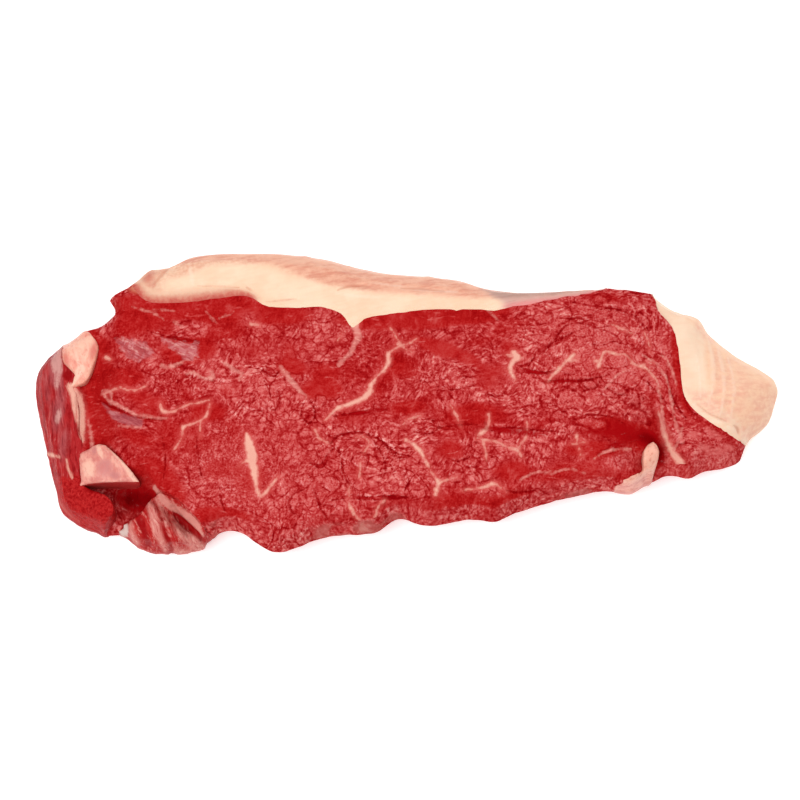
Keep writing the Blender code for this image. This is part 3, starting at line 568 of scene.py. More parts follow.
lean = Skin("lean")
top_share = eased(lean.ways[:, 2], 0.35, 0.8)


def on_face(distance):
    """A distance that holds on the cut face, and is far on the walls."""
    return np.where(top_share > 0.02, distance, FAR)


fat_streak = strokes(FAT_STREAKS, lean.plan)
sinew = strokes(SINEWS, lean.plan)
crack = strokes(CRACK_AND_SHADOW_LINES, lean.plan)
film = np.min([patch(corners, lean.plan) for corners in FILM_PATCHES], axis=0)
pale = dabs(PALE_DABS, lean.plan)
deep = dabs(DEEP_DABS, lean.plan)
wander = np.stack([lumps(lean.points, 3.4, shift) for shift in (130, 140)], axis=1)
bundle = ovals(SMOOTH_BUNDLES, lean.plan + 1.5 * wander)

grainy = np.clip(0.35 + pale - 0.8 * deep, 0, 1) * (1 - eased(-film, 0, 1))
relief = lean.swell(0.22, 13) + lean.swell(0.12, 5.5, 40) + grainy * lean.swell(0.10, 1.5, 80)
relief += 0.30 * grainy * (np.sqrt(np.clip(bundles(lean.points, 4.6, 2.0), 0, 0.5)) - 0.4)
relief -= 0.34 * top_share * eased(-crack, -0.7, 0.25)
relief += 0.12 * top_share * eased(-np.minimum(fat_streak, sinew), -0.5, 0.3)
relief += 0.16 * top_share * (eased(-bundle, -0.4, 0.9) - eased(0.6 - np.abs(bundle), 0, 0.6))
relief += (1 - top_share) * lean.swell(0.22, 3.6, 120)
lean.raise_by(relief)

# The walls at the two ends, left open to view by the flap and the lobe, take the face's deep red and painted
# shade
ends = np.maximum(eased(-lean.plan[:, 0], 62, 72), eased(lean.plan[:, 0], 82, 88))
open_fold = np.maximum(top_share, ends * (lean.points[:, 2] > 2))
torn = np.clip(0.75 + lean.swell(1.1, 8, 150), 0, 1.2)
on_rest = lean.ways[:, 2] < -0.7
lean.note(
    streak=on_face(fat_streak),
    sinew=on_face(sinew),
    crack=on_face(crack),
    film=on_face(film),
    bundle=on_face(bundle),
    mauve=on_face(patch(FOLD_FILM, lean.plan)),
    lip=stroke(LIP, lean.plan),
    pale=np.where(on_rest, 0.5, np.maximum(pale * (0.5 + 0.5 * top_share), 0.2 * (1 - top_share))),
    deep=deep * open_fold,
    hollow=dabs(HOLLOW_SHADE_DABS, lean.plan) * open_fold,
    even=dabs(EVEN_DABS, lean.plan),
    tan=dabs(TAN_DABS, lean.plan) * top_share,
    sheen=dabs(SHEEN_DABS, lean.plan) * top_share,
    wall=1 - top_share,
    side=np.where(on_rest, 0, 1 - top_share) * dabs(WALL_SKIN, lean.plan) * torn,
)


class Tone:
    """One output in a material. A sum with it adds a Math node, and make adds any other node."""

    def __init__(self, tree, socket=None):
        self.tree = tree
        self.socket = socket

    def make(self, kind, settings, values, output=0):
        """Adds a node, sets it up, gives its inputs their values or links, and returns one of its outputs."""
        node = self.tree.nodes.new("ShaderNode" + kind)
        for name, value in settings.items():
            setattr(node, name, value)
        for name, value in values.items():
            if isinstance(value, Tone):
                self.tree.links.new(value.socket, node.inputs[name])
            else:
                node.inputs[name].default_value = value
        return Tone(self.tree, node.outputs[output])

    def math(self, operation, first, second):
        """A Math node on two numbers or tones."""
        return self.make("Math", {"operation": operation}, {0: first, 1: second})

    def __add__(self, other):
        return self.math("ADD", self, other)

    def __sub__(self, other):
        return self.math("SUBTRACT", self, other)

    def __rsub__(self, other):
        return self.math("SUBTRACT", other, self)

    def __mul__(self, other):
        return self.math("MULTIPLY", self, other)

    __radd__ = __add__
    __rmul__ = __mul__

    def rise(self, low, high):
        """0 below low and 1 above high, or the other way about if low is above high."""
        ends = {"Value": self, "From Min": low, "From Max": high}
        return self.make("MapRange", {"interpolation_type": "SMOOTHSTEP"}, ends)

    def blend(self, mask, under, over):
        """One colour laid over another where the mask is 1. A colour given as numbers is painted."""
        under, over = (shade if isinstance(shade, Tone) else paint(*shade) for shade in (under, over))
        return self.make("Mix", {"data_type": "RGBA"}, {0: mask, 6: under, 7: over}, 2)

    def tint(self, *coats):
        """This colour under thin coats of paint, each red, green, blue and a mask, 1 where it shows."""
        colour = self
        for *shade, mask in coats:
            colour = self.blend(mask, colour, shade)
        return colour

    def noted(self, name):
        """A number kept on the mesh, or 0 where the mesh has none of that name."""
        return self.make("Attribute", {"attribute_name": name}, {}, 2)

    def vector(self, operation, values):
        """A Vector Math node."""
        return self.make("VectorMath", {"operation": operation}, values)

    def places(self):
        """Places on the object, in millimetres."""
        return self.vector("SCALE", {0: self.make("TexCoord", {}, {}, 3), "Scale": 1 / MM})

    def stretched(self, scale, turn):
        """Places in which lumps come out longer by the given scale, along axes turned about Z."""
        turned = (0, 0, math.radians(turn))
        values = {"Vector": self, "Rotation": turned, "Scale": scale}
        return self.make("Mapping", {"vector_type": "TEXTURE"}, values)

    def mottle(self, size, detail, rough, output=0):
        """Cloudy noise with lumps of the given size, from 0 to 1."""
        values = {"Vector": self, "Scale": 1 / size, "Detail": detail, "Roughness": rough}
        return self.make("TexNoise", {}, values, output)

    def bent(self, size, reach):
        """Places pushed about by noise."""
        push = self.vector("SUBTRACT", {0: self.mottle(size, 1.0, 0.5, 1), 1: (0.5, 0.5, 0.5)})
        return self.vector("ADD", {0: self, 1: self.vector("SCALE", {0: push, "Scale": reach})})

    def borders(self, size):
        """Distance from the borders between rounded cells of the given size, as a share of the size."""
        return self.make("TexVoronoi", {"feature": "DISTANCE_TO_EDGE"}, {"Vector": self, "Scale": 1 / size})

    def curls(self, width):
        """Thin curling lines, 1 where soft noise passes its middle value and 0 beyond the width."""
        return self.math("ABSOLUTE", self - 0.5, 0.0).rise(width, 0.0)


# How bright the studio makes a white surface
STUDIO_LIGHT = 1.22


def paint(red, green, blue):
    """The paint that looks like this colour, given from 0 to 255 as on a screen, in the studio's light."""
    parts = [part / 255 for part in (red, green, blue)]
    seen = [part / 12.92 if part < 0.04 else ((part + 0.055) / 1.055) ** 2.4 for part in parts]
    return (*[part / STUDIO_LIGHT for part in seen], 1)


def new_surface(name, gloss, coat=0.0, deep_light=0.0):
    """A new material: the material, its shader and a place to start its tones."""
    material = bpy.data.materials.new(name)
    material.use_nodes = True
    shader = material.node_tree.nodes["Principled BSDF"]
    settings = {
        "Specular IOR Level": gloss,
        "Coat Weight": coat,
        "Coat Roughness": 0.22,
        "Subsurface Weight": deep_light,
        "Subsurface Radius": (1.0, 0.35, 0.25),
        "Subsurface Scale": 1.5 * MM,
    }
    for setting, value in settings.items():
        shader.inputs[setting].default_value = value
    return material, shader, Tone(material.node_tree)


def dress(shader, colour, rough, height, depth):
    """Joins the colour, the roughness and the fine height, in millimetres of depth, to the shader."""
    bump = colour.make("Bump", {}, {"Height": height, "Distance": depth * MM, "Strength": 1.0})
    for name, tone in {"Base Color": colour, "Roughness": rough, "Normal": bump}.items():
        colour.tree.links.new(tone.socket, shader.inputs[name])


def cut_lean_surface():
    """Wet cut ends of muscle fibre, with streaks of fat, sinew and grey film."""
    material, shader, start = new_surface("cut lean", gloss=0.0)
    # The fibres stand upright, so what shows on the walls is drawn out that way
    here = start.vector("MULTIPLY_ADD", {0: start.places(), 1: (1, 1, 0.3), 2: (0, 0, 15)})
    pale = start.noted("pale")
    even = start.noted("even")
    wall = start.noted("wall")

    # Noise of each size
    swept = here.bent(12, 6).bent(3.6, 1.5)
    cloud = here.mottle(15, 2, 0.5)
    patchy = swept.mottle(4.6, 3, 0.6)
    deep = start.noted("deep") * (patchy * 1.6 + 0.2)
    turned = here.mottle(24, 1, 0.5).rise(0.44, 0.54)
    flecks = swept.stretched((2, 1, 1), 8).mottle(0.95, 1, 0.6) * (1 - turned)
    flecks = flecks + swept.stretched((2, 1, 1), 72).mottle(0.95, 1, 0.6) * turned
    grit = here.mottle(0.6, 1, 0.6)
    worm = swept.stretched((1.5, 1, 1), -15).mottle(2.6, 1, 0.5).curls(0.1)
    beads = swept.bent(1.1, 0.4).borders(1.9)
    net = swept.bent(1.3, 0.4).borders(3.4)
    wide_net = here.bent(12, 7).bent(2.4, 0.9).borders(8.5)
    ragged = (here.mottle(2.0, 2, 0.6) - 0.5) * 1.7 + (flecks - 0.5) * 0.5

    # How grainy each place is, and its grain's tone, dark to pale; the pale end is partly painted glare and
    # glints
    grain = (pale * 0.8 + (cloud - 0.5) * (1.4 - even * 1.1) - deep * 1.3 + 0.5).rise(-0.1, 0.8)
    celled = here.mottle(17, 1, 0.5).rise(0.47, 0.57) * grain
    busy = (1 - celled * 0.6) * (1 - deep * 0.5) * (1 - even * 0.4)
    broken = patchy.rise(0.36, 0.52)
    felt = patchy * (1.5 - even * 0.8) + grit * (0.9 + even * 0.8) + flecks * 0.3 - 1.36
    tone = felt * (1 - deep * 0.5) * (1 - even * 0.15)
    tone = tone + pale * 0.26 + grain * 0.36 + celled * 0.14 + even * 0.1
    glint = here.bent(9, 5).stretched((4, 1, 1), 6).mottle(1.2, 1, 0.6).rise(0.64, 0.72)
    tone = tone + (glint * 0.5 + (cloud - 0.5) * 0.5) * (1 - grain)
    tone = tone + (beads.rise(0.0, 0.26) - 0.55) * grain * (0.28 - even * 0.18) + wall * 0.1
    tone = tone + flecks.rise(0.54, 0.6) * (0.08 + grain * 0.26) * busy
    tone = tone - flecks.rise(0.45, 0.38) * (0.08 + grain * 0.14) * busy
    tone = tone + worm * (0.04 + grain * 0.26) * busy
    tone = tone - net.rise(0.1, 0.01) * broken * grain * (1 - even * 0.5) * (0.26 + celled * 0.2)
    tone = tone - wide_net.rise(0.045, 0.012) * cloud.rise(0.4, 0.56) * grain * (0.4 - even * 0.15)

    # Smooth bundles with their seams, and cracks darkened with painted shade
    bundle = start.noted("bundle") + ragged * 0.3
    smooth = bundle.rise(0.1, -0.6)
    inner = grit * 1.5 + flecks * 0.9 - 0.54 + (cloud - 0.5) * 0.8
    tone = tone * (1 - smooth * 0.8) + inner * smooth * 0.8
    tone = tone - bundle.rise(0.6, 0.2) * (1 - smooth) * (patchy * 1.5 - 0.4)
    crack = (start.noted("crack") + ragged * 0.3).rise(0.2, -0.2)
    tone = tone - crack * patchy.rise(0.3, 0.5) * 0.65

    # Red meat, clear where it is smooth and dull where it is grainy
    sheer = start.blend(tone.rise(-0.5, 0.15), (150, 6, 10), (180, 26, 26))
    sheer = sheer.tint((197, 62, 60, tone.rise(-0.1, 0.6)))
    dusky = start.blend(tone.rise(-0.5, 0.15), (140, 3, 9), (165, 22, 25))
    dusky = dusky.tint((195, 62, 62, tone.rise(0.0, 0.62)))

    # Over it: fat, sinew, painted sheen, film, painted shade of the hollows, the cap's tan film and the near
    # wall's skin
    streak = start.noted("streak")
    fat = (streak + ragged).rise(0.2, -0.25)
    sinew = (start.noted("sinew") + ragged * 1.2).rise(0.5, -0.5)
    sheen = start.noted("sheen") + (patchy - 0.5) * 1.6 + (flecks - 0.5) * 0.9
    lip = (start.noted("lip") + ragged * 0.8).rise(0.4, -0.4)
    wrinkle = here.stretched((6, 1, 1), -24).bent(2, 0.8).mottle(0.9, 3, 0.6)
    film = (start.noted("film") + ragged * 2.4).rise(0.6, -0.9) * (1 - flecks.rise(0.53, 0.45) * 0.5)
    mauve = (start.noted("mauve") + ragged * 0.9).rise(0.4, -0.7)
    hollow = start.noted("hollow") * 1.2 + ragged * 0.12
    tan = start.noted("tan") * 1.3
    side = start.noted("side")
    colour = start.blend(grain, sheer, dusky).tint(
        # The palest tones: pale grain, with painted glare and glints of the lamps on the wet face
        (223, 110, 106, tone.rise(0.42, 1.1)),
        (248, 172, 160, tone.rise(0.95, 1.6)),
        (212, 88, 82, (streak + ragged).rise(1.3, 0.0) * 0.5),
        (226, 136, 124, fat * 0.9),
        (243, 182, 162, (streak + ragged * 0.8).rise(-0.2, -0.7) * (patchy * 0.7 + 0.45)),
        (222, 130, 122, sinew * 0.75),
        (236, 160, 146, sinew * flecks.rise(0.46, 0.62) * 0.6),
        # Painted sheen on the tail lobe
        (220, 106, 102, sheen.rise(0.1, 1.0) * 0.75),
        (228, 150, 138, lip * 0.85),
        (204, 118, 120, film * 0.85),
        (160, 36, 44, film * wrinkle.rise(0.48, 0.36) * 0.75),
        (228, 160, 152, film * wrinkle.rise(0.53, 0.66) * 0.7),
        (182, 92, 96, mauve * 0.85),
        (146, 44, 54, mauve * wrinkle.rise(0.5, 0.38) * 0.6),
        (214, 138, 138, mauve * wrinkle.rise(0.52, 0.64) * 0.6),
        # Painted shade in the hollows, creases and folds
        (164, 8, 14, hollow.rise(0.1, 0.6) * 0.9),
        (124, 1, 6, hollow.rise(0.65, 1.2) * 0.85),
        (196, 84, 68, (tan + ragged * 0.3).rise(0.1, 0.9) * 0.8),
        (226, 154, 124, (tan + ragged * 0.2).rise(0.6, 1.3) * 0.8),
        (186, 92, 86, (side * 1.2 + (patchy - 0.5) * 1.8).rise(0.4, 1.0) * 0.7),
        (208, 132, 120, (side + (patchy - 0.5) * 2.4).rise(1.0, 1.5) * 0.6),
    )
    shine = tone.rise(0.3, 1.1) * (0.5 - wall * 0.42)
    start.tree.links.new(shine.socket, shader.inputs["Coat Weight"])
    dress(shader, colour, 0.42 - tone * 0.06, tone * 0.9 - crack * 0.5 + fat * 0.3, depth=0.14)
    return material


lean.finished("loin_lean", "lean", "lean", cut_lean_surface())

# The fat cap: firm cream back fat along the far side, left on the trimmed loin as one layer. Its cut face is
# smooth and pale. Outside a soft ridge it turns over into the pink-brown skin side, and a thin tan film
# spreads from it over the lean at the left.

# Where the cut face turns over into the skin side: a drawn line without width
CAP_RIDGE = (
    (-90, 35, 0), (-83, 36, 0), (-79.5, 40, 0), (-76.5, 42, 0), (-66, 43.4, 0), (-54, 43.2, 0),
    (-44, 42.4, 0), (-38.5, 40.2, 0), (-31, 37.4, 0), (-25, 35.6, 0), (-8.5, 33, 0), (4.5, 32.4, 0),
    (20.5, 31.2, 0), (34, 31.6, 0), (52, 33.6, 0),
)
# Folds in the fat, with painted shade in them, and pale ribs: drawn lines
CAP_FOLDS = (
    ((-82, 36, 0.6), (-80, 38.6, 0.9), (-77.8, 41.8, 0.8)),
    ((-46, 30.2, 0.2), (-40, 30.8, 0.5), (-36, 31.2, 0.2)),
    ((-68, 35.4, 0.1), (-60, 35.3, 0.35), (-54.5, 35, 0.3)),
    ((-52.6, 35.4, 0.3), (-51, 34.4, 0.8), (-50.2, 34.2, 0.3)),
    ((-22.5, 34, 0.4), (-18, 35.6, 1), (-13, 35.8, 0.4)), ((-2, 35, 0.3), (4, 34.8, 0.8), (12, 34, 0.3)),
)
CAP_RIBS = (
    ((-70.4, 41.6, 0.6), (-69.8, 38.4, 1.3), (-69.6, 35.8, 0.6)),
    ((-12, 37, 0.3), (2, 34.8, 0.9), (16, 33.6, 0.5)), ((-26, 33.4, 0.3), (-16, 32, 0.8), (-2, 31.2, 0.3)),
)
# Dabs where the skin side is blushed
CAP_BLUSH = (
    (-82.5, 37.5, 5, 6, 40, 1), (-82.5, 37.5, 4, 5, 40, 1), (-20, 39, 26, 5, -8, 1),
    (-58, 44, 24, 2.6, 2, 0.7), (14, 36, 26, 3.5, -6, 0.9), (-60, 46, 26, 3, 2, 0.7),
    (-72, 42.4, 11, 4, 14, 1), (-74, 41.6, 9, 4, 18, 1), (44, 34, 20, 3, 0, 0.8),
)
# Dabs for the pink-brown lump of skin at the left end
CAP_LUMP = ((-83.8, 38.6, 4.4, 6.4, -32, 1), (-82, 35, 3.4, 3, -20, 0.8))
# Dabs where the tan film lies
CAP_FILM = ((-88, 31, 14, 8, 0, 1), (-78, 32, 12, 7, 0, 1), (-70, 30, 24, 7, 0, 1), (-56, 31, 10, 5, 0, 0.8))
# How far from a ridge its distance is still told apart
RIDGE_REACH = 30.0


def side_of(rows, plan):
    """The distance in plan from a drawn line, above zero to its left."""
    curve = drawn(rows)
    away = from_line(curve, plan)[1]
    far = np.hypot(away[..., 0], away[..., 1])
    best = far.argmin(axis=1)
    step = np.diff(curve[:, :2], axis=0)[best]
    row = np.arange(len(plan))
    turn = step[:, 0] * away[row, best, 1] - step[:, 1] * away[row, best, 0]
    return np.clip(far[row, best] * np.sign(turn), -RIDGE_REACH, RIDGE_REACH)


def fat_surface(name, cream, skin, blush, film):
    """Firm fat: a smooth cream cut face, a skin side past the ridge, blushes, a thin film and painted shade in
    folds.
    """
    material, shader, start = new_surface(name, gloss=0.2, deep_light=0.1)
    here = start.places()
    cloud = here.mottle(9, 3, 0.5)
    fine = here.mottle(1.3, 3, 0.6)
    streaky = here.stretched((5, 1, 2), 12).mottle(1.6, 3, 0.6)
    outside = start.noted("skin")
    outer = (outside + (fine - 0.5) * 1.6).rise(-0.9, 1.5)
    rib = (start.noted("rib") + (fine - 0.5) * 0.8).rise(0.6, -0.4)
    thin = start.noted("film") + (fine - 0.5) * 0.25
    grey = (start.noted("grey") + (streaky - 0.5) * 0.5).rise(0.1, 0.9)
    fold = (start.noted("fold") + (fine - 0.5) * 0.6).rise(0.35, -0.3)
    colour = start.blend((cloud + (streaky - 0.5) * 0.6).rise(0.3, 0.7), *cream).tint(
        (*skin[0], outer),
        (*skin[1], outer * streaky.rise(0.45, 0.7) * 0.7),
        (*blush, start.noted("blush") * (streaky * 0.8 + fine * 0.6).rise(0.45, 0.95) * 0.75),
        (255, 230, 208, rib * streaky.rise(0.3, 0.6) * 0.4),
        (*film, thin.rise(0.1, 0.8) * 0.8),
        (208, 112, 94, thin.rise(0.62, 1.0) * 0.9),
        (190, 62, 54, thin.rise(0.88, 1.06) * 0.8),
        (214, 166, 156, grey * 0.9),
        (196, 140, 130, grey * streaky.rise(0.5, 0.64) * 0.6),
        (176, 136, 120, grey * (outside + (fine - 0.5)).rise(-1.0, 1.0) * 0.7),
        (232, 146, 142, start.noted("rim")),
        # Painted shade in the folds and creases
        (206, 128, 100, fold * 0.5),
    )
    dress(shader, colour, 0.5 - outer * 0.06, cloud * 1.2 + streaky * 0.5 + fine * 0.25, depth=0.18)
    return material


cap = Skin("fat_cap")
cap_outside = side_of(CAP_RIDGE, cap.plan)
cap_fold = strokes(CAP_FOLDS, cap.plan)
relief = cap.swell(0.20, 9, 200) + cap.swell(0.10, 3.2, 210, (0.5, 1, 1)) - 0.4 * eased(-cap_fold, -0.9, 0.3)
cap.raise_by(relief + 0.18 * (1 - eased(np.abs(cap_outside), 0, 2.2)))
cap_film = np.minimum(dabs(CAP_FILM, cap.plan) * 1.6, 1) * eased(cap.beyond_seam, -7.6, 0.2)
cap_top = eased(cap.ways[:, 2] + cap.swell(0.3, 5, 220), 0.0, 0.7)
cap.note(
    skin=cap_outside,
    blush=dabs(CAP_BLUSH, cap.plan),
    film=np.maximum(cap_film, 0.9 * dabs(CAP_LUMP, cap.plan)) * (cap.ways[:, 2] > 0),
    grey=eased(cap.plan[:, 0] + 1.1 * (cap.plan[:, 1] - 31), 25, 34) * cap_top,
    rim=eased(cap.plan[:, 0], 28, 36) * eased(cap.beyond_seam, -2.4, -0.6) * cap_top,
    fold=cap_fold,
    rib=strokes(CAP_RIBS, cap.plan),
)
cap_paint = {
    "cream": ((250, 208, 176), (254, 220, 190)),
    "skin": ((244, 186, 158), (224, 150, 126)),
    "blush": (220, 138, 112),
    "film": (232, 182, 154),
}
cap.finished("back_fat_cap", "fat_cap", "fat_cap", fat_surface("back fat", **cap_paint))

# The tail fat: the thick wedge of fat round the tail end, cut square beside the lean and sloping off as
# smooth peach skin. A paler lip runs along its near edge, with a small nick in it.

# Where the cut face turns over into the skin side: a drawn line without width
TAIL_RIDGE = (
    (86, 34, 0), (92, 24.5, 0), (96.5, 20.5, 0), (96.2, 12, 0), (96.6, 3.5, 0), (99, -3, 0), (106, -8, 0),
    (112, -14, 0),
)
# Pale ribs along it, and creases with painted shade in them: drawn lines
TAIL_RIBS = (
    ((97.6, 21, 0.5), (98.8, 14, 1.1), (99, 8, 1.3), (98.4, 2, 0.9), (97, -3, 0.4)),
    ((101, 17.6, 0.4), (102, 11, 0.9), (102.4, 4, 1), (101.6, -3, 0.6), (100.4, -7, 0.3)),
    ((104.4, 14, 0.4), (105.4, 7, 0.8), (105.4, 0, 0.8), (104.2, -7, 0.3)),
    ((93.6, 14, 0.2), (94.4, 6, 0.5), (94.4, -1, 0.3)),
    ((91.6, -2.6, 0.5), (95, -6.6, 1.2), (100, -9.2, 1.4), (105.4, -11, 0.9)),
)
TAIL_CREASES = (
    ((105.6, -9.6, 0.4), (106.8, -10.4, 1.1), (107.2, -11.6, 0.7)),
    ((93.4, -3.2, 0.1), (97.6, -6.6, 0.5), (103, -8.6, 0.2)),
)
# Dabs where it is blushed
TAIL_BLUSH = (
    (100.4, 6, 2.2, 15, -3, 0.8), (103.8, 4, 2, 13, -3, 0.8), (96.4, -2.6, 6, 5, -30, 1),
    (97, 22, 5, 3, -40, 1), (99.4, 22.4, 3, 2.4, -40, 1), (97.5, -4.5, 10, 2.2, -36, 1),
    (95.5, -2.5, 9, 2, -38, 0.9), (116.5, 0, 7, 8, 0, 1), (112, -8, 9, 6, 30, 1), (108, 4, 6, 12, 10, 0.8),
    (104, -2, 6, 8, 0, 0.9),
)

tail = Skin("tail_fat")
tail_outside = side_of(TAIL_RIDGE, tail.plan)
tail_rib = strokes(TAIL_RIBS, tail.plan)
tail_crease = strokes(TAIL_CREASES, tail.plan)
relief = tail.swell(0.18, 8, 300) + tail.swell(0.08, 2.6, 310, (1, 0.35, 1))
relief += 0.2 * eased(-tail_rib, -1.4, 0.6) - 0.3 * eased(-tail_crease, -0.7, 0.2)
tail.raise_by(relief + 0.15 * (1 - eased(np.abs(tail_outside), 0, 2.0)))
tail.note(skin=tail_outside, blush=dabs(TAIL_BLUSH, tail.plan), fold=tail_crease, rib=tail_rib)
tail_paint = {
    "cream": ((250, 210, 180), (253, 220, 192)),
    "skin": ((252, 206, 172), (247, 192, 160)),
    "blush": (238, 168, 146),
    "film": (214, 160, 140),
}
tail.finished("tail_end_fat", "tail_fat", "tail_fat", fat_surface("tail fat", **tail_paint))

# The nub of edge fat: a small pink finger of fat that lies up in the deep crease of the near side, with a
# thinner strip of the same fat running from its foot along the edge.

nub = Skin("edge_fat")
nub.raise_by(nub.swell(0.12, 4, 400))
nub.note(height=eased(nub.points[:, 2], 12, 22))


def nub_surface():
    """Pink fat, creamier on its crown and redder in its wrinkles."""
    material, shader, start = new_surface("edge fat", gloss=0.2, coat=0.1, deep_light=0.1)
    here = start.places()
    cloud = here.mottle(4, 3, 0.55)
    fine = here.bent(2, 1).stretched((1, 2.5, 1), -20).mottle(0.9, 3, 0.65)
    colour = start.blend((cloud * 0.7 + fine * 0.4).rise(0.4, 0.7), (216, 120, 108), (242, 166, 146)).tint(
        (250, 188, 164, (start.noted("height") + fine * 0.5).rise(0.7, 1.3) * 0.8),
        (206, 98, 88, fine.rise(0.46, 0.34) * 0.4),
    )
    dress(shader, colour, 0.45 - cloud * 0.1, cloud + fine * 0.7, depth=0.2)
    return material


nub.finished("near_edge_nub", "edge_fat", "edge_fat", nub_surface())

# The seam fat: two soft lumps of fat that grew between the eye muscle and the side muscle. The upper one is
# salmon pink and runs down into two pale strands. The lower one is greyer, with a cream crown and pale tail.

# Dabs for the crowns, pale fat under a painted highlight, and for the duller places, and drawn lines for the
# strands
UPPER_CROWN = ((-106, 15, 6, 6, 0, 0.8), (-103, 18, 3, 3, 0, 0.6))
UPPER_STRANDS = (
    ((-109, 3, 1.6), (-107.5, 5.4, 2.2), (-105.4, 8.6, 2.8)),
    ((-108, 16, 0.5), (-106.6, 12, 0.9), (-106, 9, 0.5)),
    ((-103.6, 18.6, 0.4), (-103.2, 14.6, 0.7), (-104.2, 11, 0.4)),
)
UPPER_DULL = ((-101.6, 14.6, 1.8, 5, -8, 0.6), (-110.4, 12, 2, 4, 20, 0.5))
LOWER_CROWN = ((-102, -24.4, 3, 5, 10, 1), (-93.6, -22.6, 1.8, 4, 30, 0.6))
LOWER_STRANDS = (
    ((-98, -15.5, 0.7), (-94.5, -19, 0.9), (-91.5, -22.5, 1), (-89, -25.5, 2.2), (-87, -27.5, 3),
     (-85.5, -30, 1.6), (-83.5, -31, 0.5)),
    ((-99.6, -16.2, 0.9), (-98.6, -19, 1.6), (-97.6, -21.4, 0.6)),
)
LOWER_DULL = (
    (-97, -24.4, 4.4, 4.4, 8, 0.6), (-100.6, -18.6, 1.4, 2.6, 0, 0.6), (-93.4, -27, 2.4, 2, 0, 0.6),
    (-98, -29.4, 7, 0.8, 0, 0.5),
)


def seam_lump(node, crown, strands, dull, seed, heights, wall_shade):
    """A soft lump with its marks. The heights are of its swellings, its ripples and its strands."""
    lump = Skin(node)
    strand = strokes(strands, lump.plan)
    swelling, ripple, ridge = heights
    relief = lump.swell(swelling, 4, seed) + lump.swell(ripple, 1.6, seed + 10, (1, 0.4, 1))
    lump.raise_by(relief + ridge * eased(-strand, -0.9, 0.3))
    lump.note(
        crown=dabs(crown, lump.plan),
        dull=dabs(dull, lump.plan),
        strand=strand,
        # Painted shadow on the lump's lower walls, as strong as the wall shade given
        wall=wall_shade * (1 - eased(lump.ways[:, 2], 0.1, 0.5)),
    )
    return lump


def seam_fat_surface(name, base, light, dull):
    """Soft marbled fat, a lighter crown with a painted highlight, strands, and duller pinker places between
    them.
    """
    material, shader, start = new_surface(name, gloss=0.2, coat=0.1, deep_light=0.1)
    here = start.places()
    cloud = here.bent(4, 2.5).mottle(3.0, 3, 0.6)
    fine = here.bent(1.5, 0.8).stretched((1, 2.6, 1), 14).mottle(0.8, 3, 0.65)
    colour = start.blend((cloud * 0.6 + fine * 0.5).rise(0.4, 0.7), *base).tint(
        (*dull, (start.noted("dull") * 1.2 + cloud * 0.8 + fine * 0.5).rise(0.85, 1.5)),
        # The crown: pale fat with a painted highlight on top
        (*light, (start.noted("crown") + cloud * 0.6 + fine * 0.4).rise(0.75, 1.5) * 0.9),
        (*light, (start.noted("strand") + (fine - 0.5) * 1.6).rise(0.3, -0.4) * 0.85),
        (*dull, fine.rise(0.42, 0.3) * 0.5),
        # Painted shadow: deep red on the lower walls, like the shade under the lump
        (206, 58, 56, (start.noted("wall") + (fine - 0.5) * 0.9).rise(0.2, 0.7)),
    )
    dress(shader, colour, 0.46 - fine * 0.12, cloud * 1.2 + fine * 0.8, depth=0.22)
    return material


upper_lump = seam_lump(
    "seam_fat_upper", UPPER_CROWN, UPPER_STRANDS, UPPER_DULL, seed=500, heights=(0.2, 0.1, 0.22), wall_shade=0.2
)
upper_fat = seam_fat_surface(
    "upper seam fat", base=((238, 148, 128), (250, 182, 158)), light=(253, 200, 176), dull=(220, 112, 100)
)
upper_lump.finished("upper_seam_fat", "seam_fat_upper", "seam_fat", upper_fat)
lower_lump = seam_lump(
    "seam_fat_lower", LOWER_CROWN, LOWER_STRANDS, LOWER_DULL, seed=520, heights=(0.25, 0.12, 0.3), wall_shade=1
)
lower_fat = seam_fat_surface(
    "lower seam fat", base=((220, 130, 120), (240, 164, 148)), light=(251, 194, 172), dull=(208, 128, 124)
)
lower_lump.finished("lower_seam_fat", "seam_fat_lower", "seam_fat", lower_fat)

# The side muscle: the narrow outer muscle at the left end, darker than the eye, lying with its fibres along
# the edge. A greyish film covers most of it, pale strands follow the seam, and a pale rim edges its foot.

# Pale strands, and the rim of the foot: drawn lines
SIDE_STRANDS = (
    ((-109, 3, 2), (-107.5, 0, 2.8), (-106.5, -4.5, 2.8), (-105.2, -9, 2.2), (-104.6, -14, 1)),
    ((-116.5, -17.5, 0.6), (-114.4, -18.8, 0.9), (-112, -20, 0.4)),
    ((-109.6, -21, 0.3), (-109, -24, 0.5), (-107.6, -27, 0.3)),
)
SIDE_RIM = (
    (-117.2, -21, 0.4), (-115.8, -27, 0.9), (-113.6, -32, 1.1), (-109.4, -37.4, 0.5), (-106, -40, 0.1),
)
# Dabs for the film, for its palest places and for the grainy foot
SIDE_FILM = (
    (-113.6, 8, 3, 9, 8, 1), (-112.5, -5, 3, 10, -8, 0.75), (-110.4, -16, 3, 9, -6, 0.6),
    (-116.4, 2, 2, 10, 8, 0.5),
)
SIDE_PALE = (
    (-113.4, 11, 2.8, 6.5, 4, 1), (-111.8, 17, 3, 4, 0, 0.9), (-113.2, 4, 1.6, 3.5, 0, 0.7),
    (-112.6, -7, 1.6, 4, -8, 0.9),
)
SIDE_FOOT = ((-104, -35, 15, 9, -28, 1), (-97, -36, 9, 7, -10, 1))
# Dabs: painted shade in the red gap under the upper lump and the fold above the foot; the dark line along the
# fibres
SIDE_DARK = ((-109.8, 6.6, 2.4, 2.2, -30, 1), (-98.5, -31.2, 7, 1.8, -4, 1), (-109, -12, 1.2, 16, -3, 0.6))

